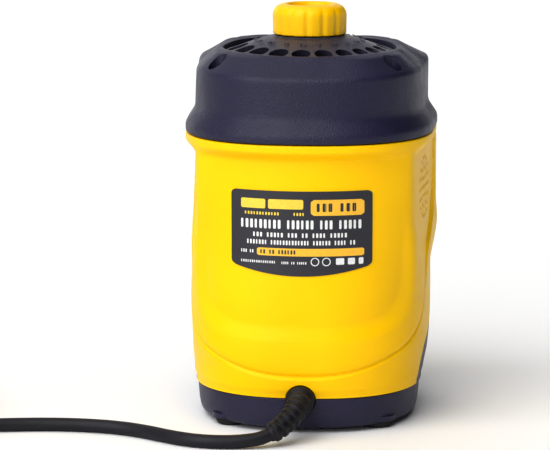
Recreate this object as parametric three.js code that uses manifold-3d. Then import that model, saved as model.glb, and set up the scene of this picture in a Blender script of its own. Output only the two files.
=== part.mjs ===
// Bench drill bit sharpener: a vertical induction motor in a round-backed casing drives a grinding wheel
// under a guide dome, whose ring of slanted bores takes twist drills from 3 to 12 mm.
// Millimetres, +Z up. The origin is on the floor under the motor axis. The rear, with the lead, is +Y.
import * as THREE from 'three';
import { mergeVertices } from 'three/addons/utils/BufferGeometryUtils.js';
import Module from 'manifold-3d';

const wasm = await Module();
wasm.setup();

// ---------------------------------------------------------------- driving dimensions
const GAP = 0.3;
const WALL = 3.0;
const PLAN_STEPS = 40;

const FOOT_H = 4.6;
const FOOT_R = 8.0;
const FOOT_AT = [38, 37];
const BASE_BOTTOM = 2.0;
const BASE_TOP = 18.6;
const BASE_FLOOR = 2.6;

const BODY_BOTTOM = BASE_TOP + GAP;
const BODY_TOP = 150.6;
const LIP_LOW = 146.2;

const CAP_BOTTOM = BODY_TOP + 0.5;
const CAP_BAND_TOP = 154.7;
const CAP_FLARE_TOP = 164.0;
const CAP_WALL_TOP = 183.3;
const RIM_Z = 194.0;
const RIM_R = 45.4;
const RIM_RISE = 2.0;
const RIM_HUMP_FRONT = 2.3;
const RIM_HUMP_REAR = 0.7;
const CORNER_BULGE = 2.4;
const SHOULDER_BULGE = 1.2;
const CAP_SPREAD = 2.5;
const LEDGE_Z = 186.5;
const LEDGE_R = 41.0;
const LEDGE_UNDER = 183.5;
const CAP_SCREW_AT = [45, 33.6];
const CAP_SCREW_SEAT = 172;

const DOME_TOP = 200.9;
const DOME_TOP_R = 22;
const DOME_EDGE_Z = 192.6;
const DOME_EDGE_R = 43.6;
const DOME_UNDER = 180.3;
const GUIDE_RING_R = 38;
const GUIDE_RING_Z = 194.7;
const GUIDE_TILT = THREE.MathUtils.degToRad(31);
const GUIDE_MIN = 3;
const GUIDE_MAX = 12;
const GUIDE_STEP = 0.5;
const GUIDE_WEB = 2.4;
const GUIDE_CLEARANCE = 0.15;
const GUIDE_ANCHOR_D = 9.5;
const GUIDE_ANCHOR_DEG = -2.6;
const BRACKET_DEG = 300;

const KNOB_BOTTOM = 201.3;
const KNOB_SEAT = 202.5;
const KNOB_SEAT_R = 12.6;
const KNOB_TOP = 217.0;
const KNOB_R = 19.4;
const KNOB_FLUTES = 14;
const STUD_R = 3.9;

const SHAFT_R = 4.0;
const MOTOR_HALF = 42;
const MOTOR_CORNER = 10;
const MOTOR_BOLT_AT = 34.5;
const SHIELD_LOW_Z = 36;
const SHIELD_HIGH_Z = 108;
const SHIELD_T = 4;
const STATOR_Z = [56, 92];
const STATOR_BORE_R = 25;
const CHAMBER_FLOOR_Z = 146.4;
const WHEEL_R = 36;
const WHEEL_Z = [159.3, 172.0];

const SWITCH_Z = 53;
const CORD_R = 3.5;
const CORD_EXIT_Z = 18.3;
const BOOT_R = 5.4;

const COLOURS = {
  yellow: 0xf7c60a,
  charcoal: 0x24252d,
  rubber: 0x17171a,
  steel: 0xb4b7bb,
  zinc: 0xc4c8cc,
  copper: 0xb0642c,
  brass: 0xc9a24a,
  lamination: 0x6f7378,
  aluminium: 0xa9adb2,
  abrasive: 0xd9d4cc,
  label: 0x2b2c31,
  red: 0xb3261b,
};

// ---------------------------------------------------------------- solids
function toSolid(geometry) {
  let bare = geometry.index ? geometry.toNonIndexed() : geometry.clone();
  for (const name of Object.keys(bare.attributes)) {
    if (name !== 'position') bare.deleteAttribute(name);
  }
  bare = mergeVertices(bare, 1e-4);
  const index = bare.index.array;
  const at = bare.attributes.position.array;
  const faces = [];
  let volume = 0;
  for (let i = 0; i < index.length; i += 3) {
    const [a, b, c] = [index[i], index[i + 1], index[i + 2]];
    if (a === b || b === c || c === a) continue;
    faces.push(a, b, c);
    const [p, q, r] = [a, b, c].map((k) => new THREE.Vector3().fromArray(at, 3 * k));
    volume += p.dot(q.cross(r));
  }
  if (volume < 0) faces.reverse();
  const mesh = new wasm.Mesh({
    numProp: 3,
    vertProperties: new Float32Array(at),
    triVerts: new Uint32Array(faces),
  });
  return new wasm.Manifold(mesh);
}

function toGeometry(solid) {
  const mesh = solid.getMesh();
  const geometry = new THREE.BufferGeometry();
  geometry.setAttribute('position', new THREE.BufferAttribute(mesh.vertProperties, 3));
  geometry.setIndex(new THREE.BufferAttribute(mesh.triVerts, 1));
  geometry.computeVertexNormals();
  return geometry;
}

function lathe(points, steps = 24) {
  const profile = points.map(([r, z]) => new THREE.Vector2(r, z));
  const onAxis = points[0][0] === 0 && points[points.length - 1][0] === 0;
  if (!onAxis) profile.push(profile[0].clone());
  const geometry = new THREE.LatheGeometry(profile, steps);
  geometry.rotateX(Math.PI / 2);
  return toSolid(geometry);
}

function disc(r, z0, z1, steps = 24) {
  return lathe([[0, z0], [r, z0], [r, z1], [0, z1]], steps);
}

function ring(r0, r1, z0, z1, steps = 24) {
  return lathe([[r0, z0], [r1, z0], [r1, z1], [r0, z1]], steps);
}

function rod(r, from, to, steps = 16) {
  const a = new THREE.Vector3(...from);
  const b = new THREE.Vector3(...to);
  const geometry = new THREE.CylinderGeometry(r, r, a.distanceTo(b), steps);
  const turn = new THREE.Quaternion().setFromUnitVectors(
    new THREE.Vector3(0, 1, 0),
    b.clone().sub(a).normalize(),
  );
  geometry.applyQuaternion(turn);
  geometry.translate((a.x + b.x) / 2, (a.y + b.y) / 2, (a.z + b.z) / 2);
  return toSolid(geometry);
}

function block(low, high) {
  const size = high.map((v, k) => v - low[k]);
  const geometry = new THREE.BoxGeometry(...size);
  geometry.translate(...high.map((v, k) => (v + low[k]) / 2));
  return toSolid(geometry);
}

function extrude(shape, z0, z1, curveSegments = 6) {
  const geometry = new THREE.ExtrudeGeometry(shape, { depth: z1 - z0, bevelEnabled: false, curveSegments });
  geometry.translate(0, 0, z0);
  return toSolid(geometry);
}

function roundedSquare(half, corner) {
  const shape = new THREE.Shape();
  const flat = half - corner;
  shape.absarc(flat, flat, corner, 0, Math.PI / 2);
  shape.absarc(-flat, flat, corner, Math.PI / 2, Math.PI);
  shape.absarc(-flat, -flat, corner, Math.PI, 1.5 * Math.PI);
  shape.absarc(flat, -flat, corner, 1.5 * Math.PI, 2 * Math.PI);
  return shape;
}

// A closed skin over rings of equal length. A looped skin joins its last ring to its first, a capped one
// closes both ends with a fan.
function skin(rings, looped) {
  const count = rings[0].length;
  const at = rings.flat(2);
  const faces = [];
  const last = looped ? rings.length : rings.length - 1;
  for (let j = 0; j < last; j += 1) {
    const upper = (j + 1) % rings.length;
    for (let i = 0; i < count; i += 1) {
      const next = (i + 1) % count;
      faces.push(j * count + i, j * count + next, upper * count + next);
      faces.push(j * count + i, upper * count + next, upper * count + i);
    }
  }
  if (!looped) {
    const top = (rings.length - 1) * count;
    for (let i = 1; i < count - 1; i += 1) {
      faces.push(0, i + 1, i);
      faces.push(top, top + i, top + i + 1);
    }
  }
  const geometry = new THREE.BufferGeometry();
  geometry.setAttribute('position', new THREE.Float32BufferAttribute(at, 3));
  geometry.setIndex(faces);
  return toSolid(geometry);
}

function unite(...solids) {
  return solids.reduce((all, next) => all.add(next));
}

function cut(solid, ...tools) {
  return tools.reduce((rest, tool) => rest.subtract(tool), solid);
}

// ---------------------------------------------------------------- casing plan
function smooth(edge0, edge1, value) {
  const t = Math.min(1, Math.max(0, (value - edge0) / (edge1 - edge0)));
  return t * t * (3 - 2 * t);
}

// A smooth curve through [z, value] points, level beyond both ends.
function through(points, z) {
  if (z <= points[0][0]) return points[0][1];
  for (let i = 1; i < points.length; i += 1) {
    const [z0, v0] = points[i - 1];
    const [z1, v1] = points[i];
    if (z <= z1) return v0 + (v1 - v0) * smooth(z0, z1, z);
  }
  return points[points.length - 1][1];
}

// Plan radius at an angle from +X: a superellipse, round behind and squarer in front.
function planRadius(angle, half, rear, front, squareness) {
  const c = Math.abs(Math.cos(angle));
  const s = Math.abs(Math.sin(angle));
  const behind = Math.sin(angle) >= 0;
  const n = behind ? 2.35 : squareness;
  const depth = behind ? rear : front;
  return ((c / half) ** n + (s / depth) ** n) ** (-1 / n);
}

const SIDE_HALF = [
  [19, 58.9], [30, 59.7], [50, 60.6], [80, 61.7], [100, 61.0], [124, 58.8], [140, 59.2], [146, 64.5],
];
const FRONT_HALF = [[19, 58.9], [50, 60.2], [77, 60.4], [113, 63.4]];
const FRONT_SPREAD = [[19, 0.4], [34, 3.0], [60, 2.6], [90, 1.6], [146, 1.8]];
const REAR_DEPTH = [[19, 61.2], [45, 63.2], [75, 63.4], [124, 61.4], [140, 61.6], [146, 66.0]];
const FRONT_DEPTH = [[19, 61.5], [50, 62.4], [113, 65.2]];
const SQUARENESS = [[19, 2.6], [50, 5], [113, 5.6]];
// Where the raised front and foot of the casing begin, as degrees round from the rear.
const CREASE_DEG = [[30, 0], [33, 25], [38, 43], [50, 70], [88, 92], [101, 118], [150, 121]];

// How far round towards the front an angle is, from 0 behind to 1 at the front corners.
function towardsFront(angle) {
  return smooth(-0.56, 0.73, -Math.sin(angle));
}

function bodyRadius(angle, z) {
  const rear = through(REAR_DEPTH, z);
  const front = through(FRONT_DEPTH, z);
  const square = through(SQUARENESS, z);
  const inner = planRadius(angle, through(SIDE_HALF, z), rear, front, square);
  const spread = through(FRONT_SPREAD, z) * towardsFront(angle);
  const raised = planRadius(angle, through(FRONT_HALF, z) + spread, rear, front, square);
  const fromRear = Math.abs(THREE.MathUtils.radToDeg(Math.atan2(Math.cos(angle), Math.sin(angle))));
  const isRaised = z < 30 ? 1 : smooth(-4, 4, fromRear - through(CREASE_DEG, z));
  const step = 1.1 * smooth(19, 27, z) * (1 - smooth(142, 146, z));
  return Math.max(inner, inner + (raised - inner + step) * isRaised);
}

function ringAt(radius, z, steps = PLAN_STEPS) {
  const points = [];
  for (let i = 0; i < steps; i += 1) {
    const angle = (2 * Math.PI * i) / steps;
    const r = radius(angle);
    const level = typeof z === 'function' ? z(angle) : z;
    points.push([r * Math.cos(angle), r * Math.sin(angle), level]);
  }
  return points;
}

function bodyRing(z, inset) {
  return ringAt((angle) => bodyRadius(angle, z) - inset, z);
}

// ---------------------------------------------------------------- model tree
const model = new THREE.Group();
model.name = 'drill_bit_sharpener';

function place(group, name, solid, colour, roughness = 0.5, metalness = 0) {
  const material = new THREE.MeshStandardMaterial({ color: COLOURS[colour], roughness, metalness });
  const mesh = new THREE.Mesh(toGeometry(solid), material);
  mesh.name = name;
  group.add(mesh);
}

function subGroup() {
  const group = new THREE.Group();
  model.add(group);
  return group;
}

const corners = (x, y) => [[x, y], [-x, y], [-x, -y], [x, -y]];

// ---------------------------------------------------------------- casing shells
function bodyShell() {
  const outer = [BODY_BOTTOM, 27, 33, 42, 54, 70, 86, 102, 114, 126, 140, 143.5].map((z) => bodyRing(z, 0));
  const lip = [bodyRing(LIP_LOW, 0), bodyRing(BODY_TOP - 1, 0), bodyRing(BODY_TOP, 1)];
  const innerSide = [BODY_TOP, 140, 84, BODY_BOTTOM].map((z) => bodyRing(z, WALL + 0.4));
  return skin([...outer, ...lip, ...innerSide], true);
}

// The front panel's outline from the side: low and upright at the back, sweeping up to the front.
function panelZone(grow) {
  const shape = new THREE.Shape();
  shape.moveTo(-90, BASE_TOP - 4);
  shape.lineTo(19 + grow, BASE_TOP - 4);
  shape.quadraticCurveTo(17 + grow, 33 + grow, grow, 38 + grow);
  shape.quadraticCurveTo(-40 + grow, 42 + grow, -57 + grow, 76);
  shape.lineTo(-90, 92 + grow);
  shape.closePath();
  const zone = new THREE.ExtrudeGeometry(shape, { depth: 160, bevelEnabled: false, curveSegments: 5 });
  zone.translate(0, 0, -80);
  // Shape x is the machine's y and shape y its z, so the outline is turned to run along X.
  zone.applyMatrix4(new THREE.Matrix4().set(0, 0, 1, 0, 1, 0, 0, 0, 0, 1, 0, 0, 0, 0, 0, 1));
  return toSolid(zone);
}

const VENT_CENTRE = [-2, 120.7];
const VENT_R = 1.4;
const VENT_PITCH = 5.3;

function ventHoles() {
  const holes = [];
  for (let circle = 0; circle <= 3; circle += 1) {
    const count = Math.max(1, 6 * circle);
    for (let i = 0; i < count; i += 1) {
      const angle = (2 * Math.PI * i) / count;
      const y = VENT_CENTRE[0] + VENT_PITCH * circle * Math.cos(angle);
      const z = VENT_CENTRE[1] + VENT_PITCH * circle * Math.sin(angle);
      holes.push(rod(VENT_R, [-80, y, z], [80, y, z], 4));
    }
  }
  return wasm.Manifold.union(holes);
}

function casing() {
  const group = subGroup();
  const shell = bodyShell();
  const postTop = CHAMBER_FLOOR_Z - GAP;
  const posts = corners(...CAP_SCREW_AT).map(([x, y]) => {
    const post = disc(5.4, 122, postTop, 8).translate(x, y, 0);
    const rib = block([Math.min(x, 1.5 * x), y - 2, 122], [Math.max(x, 1.5 * x), y + 2, postTop]);
    return post.add(rib);
  });
  const top = bodyRing(140, 2).map(([x, y]) => [x, y, 147]);
  const within = skin([bodyRing(110, 2), bodyRing(124, 2), bodyRing(140, 2), top], false);
  const trimmed = posts.map((post) => post.intersect(within));
  const bores = corners(...CAP_SCREW_AT).map(([x, y]) => disc(1.9, 128, 160, 8).translate(x, y, 0));
  const collar = rod(7.9, [0, 50, CORD_EXIT_Z], [0, 80, CORD_EXIT_Z], 20);
  const body = cut(unite(shell, ...trimmed), panelZone(GAP), ventHoles(), ...bores, collar);
  place(group, 'body_shell', body, 'yellow', 0.42);

  const cutout = block([-6.6, -90, SWITCH_Z - 9.8], [6.6, -50, SWITCH_Z + 9.8]);
  const panel = cut(shell.intersect(panelZone(0)), cutout);
  place(group, 'front_panel', panel, 'charcoal', 0.6);

  place(group, 'base_shell', baseShell(collar), 'charcoal', 0.6);
  corners(...FOOT_AT).forEach(([x, y], i) => {
    const foot = lathe([[0, 0], [FOOT_R - 1.5, 0], [FOOT_R, 1.4], [FOOT_R, FOOT_H], [0, FOOT_H]], 16);
    place(group, `rubber_foot_${i + 1}`, foot.translate(x, y, 0), 'rubber', 0.9);
  });
}

const BASE_SCREW_SPOTS = [[36, 0], [0, 36], [-36, 0], [0, -36]];

function baseShell(collar) {
  const base = (angle, taper) => planRadius(angle, 58.6 - taper, 61.0 - taper, 61.2 - taper, 2.6);
  const at = (taper, z) => ringAt((angle) => base(angle, taper), z);
  const shell = skin(
    [
      at(6, BASE_BOTTOM),
      at(2.6, BASE_BOTTOM + 1),
      at(1.2, BASE_BOTTOM + 4),
      at(0, BASE_TOP),
      at(WALL, BASE_TOP),
      at(WALL + 1.4, BASE_BOTTOM + BASE_FLOOR + 1.4),
      at(WALL + 3.4, BASE_BOTTOM + BASE_FLOOR),
    ],
    false,
  );
  const boss = disc(5, BASE_BOTTOM + 1, SHIELD_LOW_Z - GAP, 8);
  const bosses = BASE_SCREW_SPOTS.map(([x, y]) => boss.translate(x, y, 0));
  const bores = BASE_SCREW_SPOTS.map(([x, y]) => disc(2.5, 0, 50, 8).translate(x, y, 0));
  const heads = BASE_SCREW_SPOTS.map(([x, y]) => disc(4.6, 0, 7.3, 10).translate(x, y, 0));
  const recess = disc(FOOT_R + GAP, 0, FOOT_H + GAP, 16);
  const feet = corners(...FOOT_AT).map(([x, y]) => recess.translate(x, y, 0));
  const pad = disc(FOOT_R + 1.5, 4, FOOT_H + 2, 8);
  const pads = corners(...FOOT_AT).map(([x, y]) => pad.translate(x, y, 0));
  const within = skin([at(4, 3), at(WALL - 1, BASE_TOP - 1)], false);
  const slots = [-2, -1, 0, 1, 2].map((i) => block([6.5 * i - 1.6, -20, 0], [6.5 * i + 1.6, 20, 8]));
  const whole = unite(shell, ...bosses, ...pads.map((pad) => pad.intersect(within)));
  return cut(whole, ...bores, ...heads, ...feet, ...slots, collar);
}

// ---------------------------------------------------------------- top cap and guide dome
const CAP_HALF = [[151, 64.5], [CAP_BAND_TOP, 64.5], [CAP_FLARE_TOP, 59.2], [CAP_WALL_TOP, 58.6]];

function capRadius(angle, z, inset = 0) {
  const half = through(CAP_HALF, z) - inset;
  return planRadius(angle, half + CAP_SPREAD * towardsFront(angle), half + 1.9, half + 1.9, 5.6);
}

function atCorner(angle) {
  return smooth(0.35, 1, Math.abs(Math.sin(2 * angle)));
}

// The rim rises a little towards the front, and more at the corners, where the screw wells are.
function rimLift(angle) {
  const hump = Math.sin(angle) > 0 ? RIM_HUMP_REAR : RIM_HUMP_FRONT;
  return (RIM_RISE * (1 - Math.sin(angle))) / 2 + hump * atCorner(angle);
}

function topCap() {
  const wall = (z, inset) => ringAt((angle) => capRadius(angle, z, inset), z);
  const shoulder = (angle) => capRadius(angle, CAP_WALL_TOP, 0.4) + SHOULDER_BULGE * atCorner(angle);
  const chamferTop = (angle) => RIM_R + 4.4 + CORNER_BULGE * atCorner(angle);
  const circle = (r, z, lifted) => ringAt(() => r, (angle) => z + (lifted ? rimLift(angle) : 0));
  const shell = skin(
    [
      wall(CAP_BOTTOM, 0),
      wall(CAP_BAND_TOP, 0),
      wall(159.5, 0),
      wall(CAP_FLARE_TOP, 0),
      ringAt(shoulder, (angle) => CAP_WALL_TOP + 0.7 * rimLift(angle)),
      ringAt(chamferTop, (angle) => RIM_Z - 2.2 + rimLift(angle)),
      circle(RIM_R + 3.2, RIM_Z - 0.5, true),
      circle(RIM_R, RIM_Z, true),
      circle(RIM_R, LEDGE_Z, false),
      circle(LEDGE_R, LEDGE_Z, false),
      circle(LEDGE_R, LEDGE_UNDER, false),
      wall(LEDGE_UNDER, WALL + 3),
      wall(CAP_FLARE_TOP, WALL),
      wall(CAP_BAND_TOP - 1, WALL),
      wall(CAP_BOTTOM, WALL),
    ],
    true,
  );
  const within = skin(
    [
      wall(CHAMBER_FLOOR_Z, WALL + 6),
      wall(CAP_BOTTOM, WALL + 6),
      wall(160, WALL),
      wall(CAP_FLARE_TOP, 1.4),
      wall(CAP_WALL_TOP + 1, 1.4),
    ],
    false,
  );
  const spots = corners(...CAP_SCREW_AT);
  const bossLow = CHAMBER_FLOOR_Z + 2 + GAP;
  const boss = disc(7.2, bossLow, CAP_WALL_TOP + 1, 10);
  const bosses = spots.map(([x, y]) => boss.translate(x, y, 0).intersect(within));
  const wells = spots.map(([x, y]) => disc(5, CAP_SCREW_SEAT, 210, 14).translate(x, y, 0));
  const bores = spots.map(([x, y]) => disc(2.4, 140, 180, 8).translate(x, y, 0));
  const screws = bracketScrewSpots().map(([x, y]) => disc(1.9, 180, 189.5, 8).translate(x, y, 0));
  return cut(unite(shell, ...bosses), ...wells, ...bores, ...screws);
}

// Bore sizes step up by half a millimetre around the ring, each a web's width from the next.
// A bearing is degrees round from the rear, towards -X.
function guideBores() {
  const bearingOf = new Map([[GUIDE_ANCHOR_D, GUIDE_ANCHOR_DEG]]);
  const pitchDeg = (d0, d1) => THREE.MathUtils.radToDeg(((d0 + d1) / 2 + GUIDE_WEB) / GUIDE_RING_R);
  for (let d = GUIDE_ANCHOR_D; d < GUIDE_MAX; d += GUIDE_STEP) {
    bearingOf.set(d + GUIDE_STEP, bearingOf.get(d) - pitchDeg(d, d + GUIDE_STEP));
  }
  for (let d = GUIDE_ANCHOR_D; d > GUIDE_MIN; d -= GUIDE_STEP) {
    bearingOf.set(d - GUIDE_STEP, bearingOf.get(d) + pitchDeg(d, d - GUIDE_STEP));
  }
  return [...bearingOf].map(([d, bearing]) => {
    const turn = THREE.MathUtils.degToRad(bearing);
    const out = [-Math.sin(turn), Math.cos(turn)];
    const along = (t) => {
      const r = GUIDE_RING_R + t * Math.sin(GUIDE_TILT);
      return [r * out[0], r * out[1], GUIDE_RING_Z + t * Math.cos(GUIDE_TILT)];
    };
    return rod(d / 2 + GUIDE_CLEARANCE, along(-19), along(14), d > 7 ? 12 : 8);
  });
}

function aroundAxis(solid) {
  return solid.rotate(0, 0, BRACKET_DEG);
}

function bracketScrewSpots() {
  const turn = THREE.MathUtils.degToRad(BRACKET_DEG);
  return [-6, 6].map((side) => {
    const point = new THREE.Vector2(47.5, side).rotateAround(new THREE.Vector2(), turn);
    return [point.x, point.y];
  });
}

function guideDome() {
  const cone = lathe(
    [
      [STUD_R + 0.5, DOME_TOP],
      [DOME_TOP_R - 1, DOME_TOP],
      [DOME_TOP_R, DOME_TOP - 0.3],
      [DOME_EDGE_R, DOME_EDGE_Z],
      [RIM_R - 0.5, DOME_EDGE_Z - 0.8],
      [RIM_R - 0.5, LEDGE_Z + GAP],
      [LEDGE_R - 0.4, LEDGE_Z + GAP],
      [LEDGE_R - 0.4, DOME_UNDER],
      [17, DOME_UNDER],
      [17, LEDGE_UNDER],
      [STUD_R + 0.5, LEDGE_UNDER],
    ],
    36,
  );
  const notch = aroundAxis(block([-12, -11.5, 170], [60, 11.5, LEDGE_UNDER]));
  return cut(cone, wasm.Manifold.union(guideBores()), notch);
}

function head() {
  const group = subGroup();
  place(group, 'top_cap', topCap(), 'charcoal', 0.62);
  place(group, 'guide_dome', guideDome(), 'charcoal', 0.58);
  corners(...CAP_SCREW_AT).forEach(([x, y], i) => {
    const screw = unite(
      disc(4.2, CAP_SCREW_SEAT + GAP, CAP_SCREW_SEAT + 3.2, 12),
      disc(1.6, 130, CAP_SCREW_SEAT + 1, 8),
    );
    const socket = block([-0.6, -3, CAP_SCREW_SEAT + 1.8], [0.6, 3, CAP_SCREW_SEAT + 5]);
    const cross = unite(socket, socket.rotate(0, 0, 90));
    place(group, `cap_screw_${i + 1}`, cut(screw, cross).translate(x, y, 0), 'zinc', 0.35, 0.9);
  });
  const strap = cut(block([-9, -10, 180.2], [53, 10, 183.2]), disc(STUD_R + GAP, 170, 190, 16));
  const turned = aroundAxis(strap);
  const bores = bracketScrewSpots().map(([x, y]) => disc(1.9, 170, 190, 8).translate(x, y, 0));
  place(group, 'clamp_bracket', cut(turned, ...bores), 'zinc', 0.4, 0.9);
  bracketScrewSpots().forEach(([x, y], i) => {
    const screw = unite(disc(3.2, 177.8, 179.9, 12), disc(1.5, 178, 189, 8));
    place(group, `bracket_screw_${i + 1}`, screw.translate(x, y, 0), 'zinc', 0.35, 0.9);
  });
  const stud = unite(disc(6.8, 177.4, 179.9, 6), disc(STUD_R, 178, 209, 20));
  place(group, 'clamp_stud', stud, 'zinc', 0.35, 0.9);
}

// ---------------------------------------------------------------- clamp knob
function knobOutline(shrink) {
  const points = [];
  const steps = KNOB_FLUTES * 4;
  for (let i = 0; i < steps; i += 1) {
    const angle = (2 * Math.PI * i) / steps;
    const flute = 0.5 + 0.5 * Math.cos(KNOB_FLUTES * angle);
    const r = KNOB_R - shrink - 0.8 * (1 - flute) ** 2;
    points.push([r * Math.cos(angle), r * Math.sin(angle)]);
  }
  return points;
}

function knob() {
  const level = (shrink, z) => knobOutline(shrink).map(([x, y]) => [x, y, z]);
  const solid = skin(
    [
      level(0.8, KNOB_BOTTOM),
      level(0, KNOB_BOTTOM + 0.8),
      level(0.1, KNOB_TOP - 3.4),
      level(1.0, KNOB_TOP - 1.2),
      level(3.2, KNOB_TOP),
    ],
    false,
  );
  const recess = lathe([[0, 211.6], [9.4, 211.6], [10.8, 213], [11.6, 218], [0, 218]], 20);
  const socket = disc(6.3, 200, 209.8, 20);
  const seat = disc(KNOB_SEAT_R, 190, KNOB_SEAT, 24);
  return cut(solid, recess, socket, seat);
}

function clamp() {
  const group = subGroup();
  const washer = ring(STUD_R + 0.4, 12, DOME_TOP + GAP, DOME_TOP + 1.3, 24);
  place(group, 'thrust_washer', washer, 'zinc', 0.35, 0.9);
  place(group, 'clamp_knob', knob(), 'yellow', 0.4);
  const insert = ring(STUD_R + 0.15, 6.0, KNOB_SEAT + 0.4, 209.5, 20);
  place(group, 'knob_insert', insert, 'brass', 0.35, 0.9);
}

// ---------------------------------------------------------------- motor
function shield(z, hubUp) {
  const plate = extrude(roundedSquare(MOTOR_HALF, MOTOR_CORNER), z, z + SHIELD_T, 4);
  const hubLow = hubUp ? z + 1 : z - 5.5;
  const hub = disc(14.5, hubLow, hubLow + 8.5, 16);
  const seat = disc(11.2, hubUp ? z + 1.6 : z - 10, hubUp ? z + 20 : z + 2.2, 18);
  const clear = disc(6, z - 20, z + 30, 12);
  const bolt = disc(2.4, z - 5, z + 10, 8);
  const bolts = corners(MOTOR_BOLT_AT, MOTOR_BOLT_AT).map(([x, y]) => bolt.translate(x, y, 0));
  const foot = disc(1.9, z - 5, z + 10, 8);
  const feet = hubUp ? [] : BASE_SCREW_SPOTS.map(([x, y]) => foot.translate(x, y, 0));
  return cut(unite(plate, hub), seat, clear, ...bolts, ...feet);
}

function winding(z0, z1) {
  const mid = (z0 + z1) / 2;
  const shape = [];
  for (let i = 0; i < 8; i += 1) {
    const angle = (2 * Math.PI * (i + 0.5)) / 8;
    shape.push([33.5 + 6.2 * Math.cos(angle), mid + 0.5 * (z1 - z0) * 1.05 * Math.sin(angle)]);
  }
  return lathe(shape, 20);
}

function fan() {
  const hub = ring(SHAFT_R + GAP, 9, 118, 128, 16);
  const plate = ring(8, 37, 118, 119.6, 20);
  const blades = [];
  for (let i = 0; i < 9; i += 1) {
    blades.push(block([15, -0.9, 119], [36, 0.9, 127.5]).rotate(0, 0, 40 * i));
  }
  return unite(hub, plate, ...blades);
}

function motor() {
  const group = subGroup();
  const bolts = corners(MOTOR_BOLT_AT, MOTOR_BOLT_AT);
  const stack = cut(
    extrude(roundedSquare(MOTOR_HALF, MOTOR_CORNER), ...STATOR_Z, 4),
    disc(STATOR_BORE_R, 50, 100, 32),
    ...bolts.map(([x, y]) => disc(2.4, 50, 100, 8).translate(x, y, 0)),
  );
  place(group, 'stator_core', stack, 'lamination', 0.5, 0.7);
  place(group, 'winding_lower', winding(43, STATOR_Z[0] - GAP), 'copper', 0.45, 0.5);
  place(group, 'winding_upper', winding(STATOR_Z[1] + GAP, 105), 'copper', 0.45, 0.5);
  place(group, 'end_shield_lower', shield(SHIELD_LOW_Z, false), 'aluminium', 0.45, 0.8);
  place(group, 'end_shield_upper', shield(SHIELD_HIGH_Z, true), 'aluminium', 0.45, 0.8);
  const bearing = (z) => ring(SHAFT_R + 0.1, 10.9, z, z + 6.6, 32);
  place(group, 'bearing_lower', bearing(SHIELD_LOW_Z - 4.7), 'steel', 0.3, 0.9);
  place(group, 'bearing_upper', bearing(SHIELD_HIGH_Z + 1.9), 'steel', 0.3, 0.9);
  bolts.forEach(([x, y], i) => {
    const boltHead = disc(4, SHIELD_HIGH_Z + 4.3, SHIELD_HIGH_Z + 7.3, 6);
    const bolt = unite(boltHead, disc(2, 32, SHIELD_HIGH_Z + 5, 10));
    place(group, `motor_bolt_${i + 1}`, bolt.translate(x, y, 0), 'zinc', 0.4, 0.9);
  });
  BASE_SCREW_SPOTS.forEach(([x, y], i) => {
    const screw = unite(disc(4.1, 4.4, 7.0, 10), disc(1.6, 5, SHIELD_LOW_Z + 3.5, 8));
    place(group, `base_screw_${i + 1}`, screw.translate(x, y, 0), 'zinc', 0.4, 0.9);
  });
  place(group, 'run_capacitor', rod(8, [-14, -52, 88], [14, -52, 88], 16), 'label', 0.5);
  place(group, 'terminal_block', block([-24, 42, 41], [-2, 50, 51]), 'rubber', 0.6);
}

function rotor() {
  const group = subGroup();
  place(group, 'motor_shaft', disc(SHAFT_R, 30, 175.8, 32), 'steel', 0.25, 0.95);
  const core = ring(SHAFT_R + GAP, STATOR_BORE_R - 0.6, ...STATOR_Z, 32);
  place(group, 'rotor_core', core, 'lamination', 0.45, 0.8);
  place(group, 'cooling_fan', fan(), 'charcoal', 0.6);
  const flange = ring(SHAFT_R + GAP, 14, 155.4, WHEEL_Z[0] - GAP, 24);
  place(group, 'wheel_flange_lower', flange, 'steel', 0.35, 0.9);
  const wheel = lathe(
    [
      [SHAFT_R + GAP, WHEEL_Z[0]],
      [WHEEL_R - 6, WHEEL_Z[0]],
      [WHEEL_R, WHEEL_Z[0] + 5],
      [WHEEL_R, WHEEL_Z[1] - 1],
      [WHEEL_R - 1, WHEEL_Z[1]],
      [20, WHEEL_Z[1]],
      [17, 165.4],
      [SHAFT_R + GAP, 165.4],
    ],
    24,
  );
  place(group, 'grinding_wheel', wheel, 'abrasive', 0.95);
  place(group, 'wheel_flange_upper', ring(SHAFT_R + GAP, 13, 165.7, 168.2, 24), 'steel', 0.35, 0.9);
  const nut = cut(disc(7.4, 168.5, 174, 6), disc(SHAFT_R + GAP, 160, 180, 20));
  place(group, 'wheel_nut', nut, 'zinc', 0.35, 0.9);
}

function chamberFloor() {
  const edge = (z) => ringAt((angle) => bodyRadius(angle, 140) - WALL - 2, z);
  const plate = skin([edge(CHAMBER_FLOOR_Z), edge(CHAMBER_FLOOR_Z + 2)], false);
  const collar = disc(10, CHAMBER_FLOOR_Z + 1, CHAMBER_FLOOR_Z + 6, 14);
  const holes = corners(...CAP_SCREW_AT).map(([x, y]) => disc(2.2, 140, 155, 8).translate(x, y, 0));
  const solid = cut(unite(plate, collar), disc(6.5, 140, 160, 14), ...holes);
  place(model, 'chamber_floor', solid, 'zinc', 0.45, 0.8);
}

// ---------------------------------------------------------------- switch, label and lead
const SWITCH_FACE = -64.1;
const ROCKER_TILT = THREE.MathUtils.degToRad(9);

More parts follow.
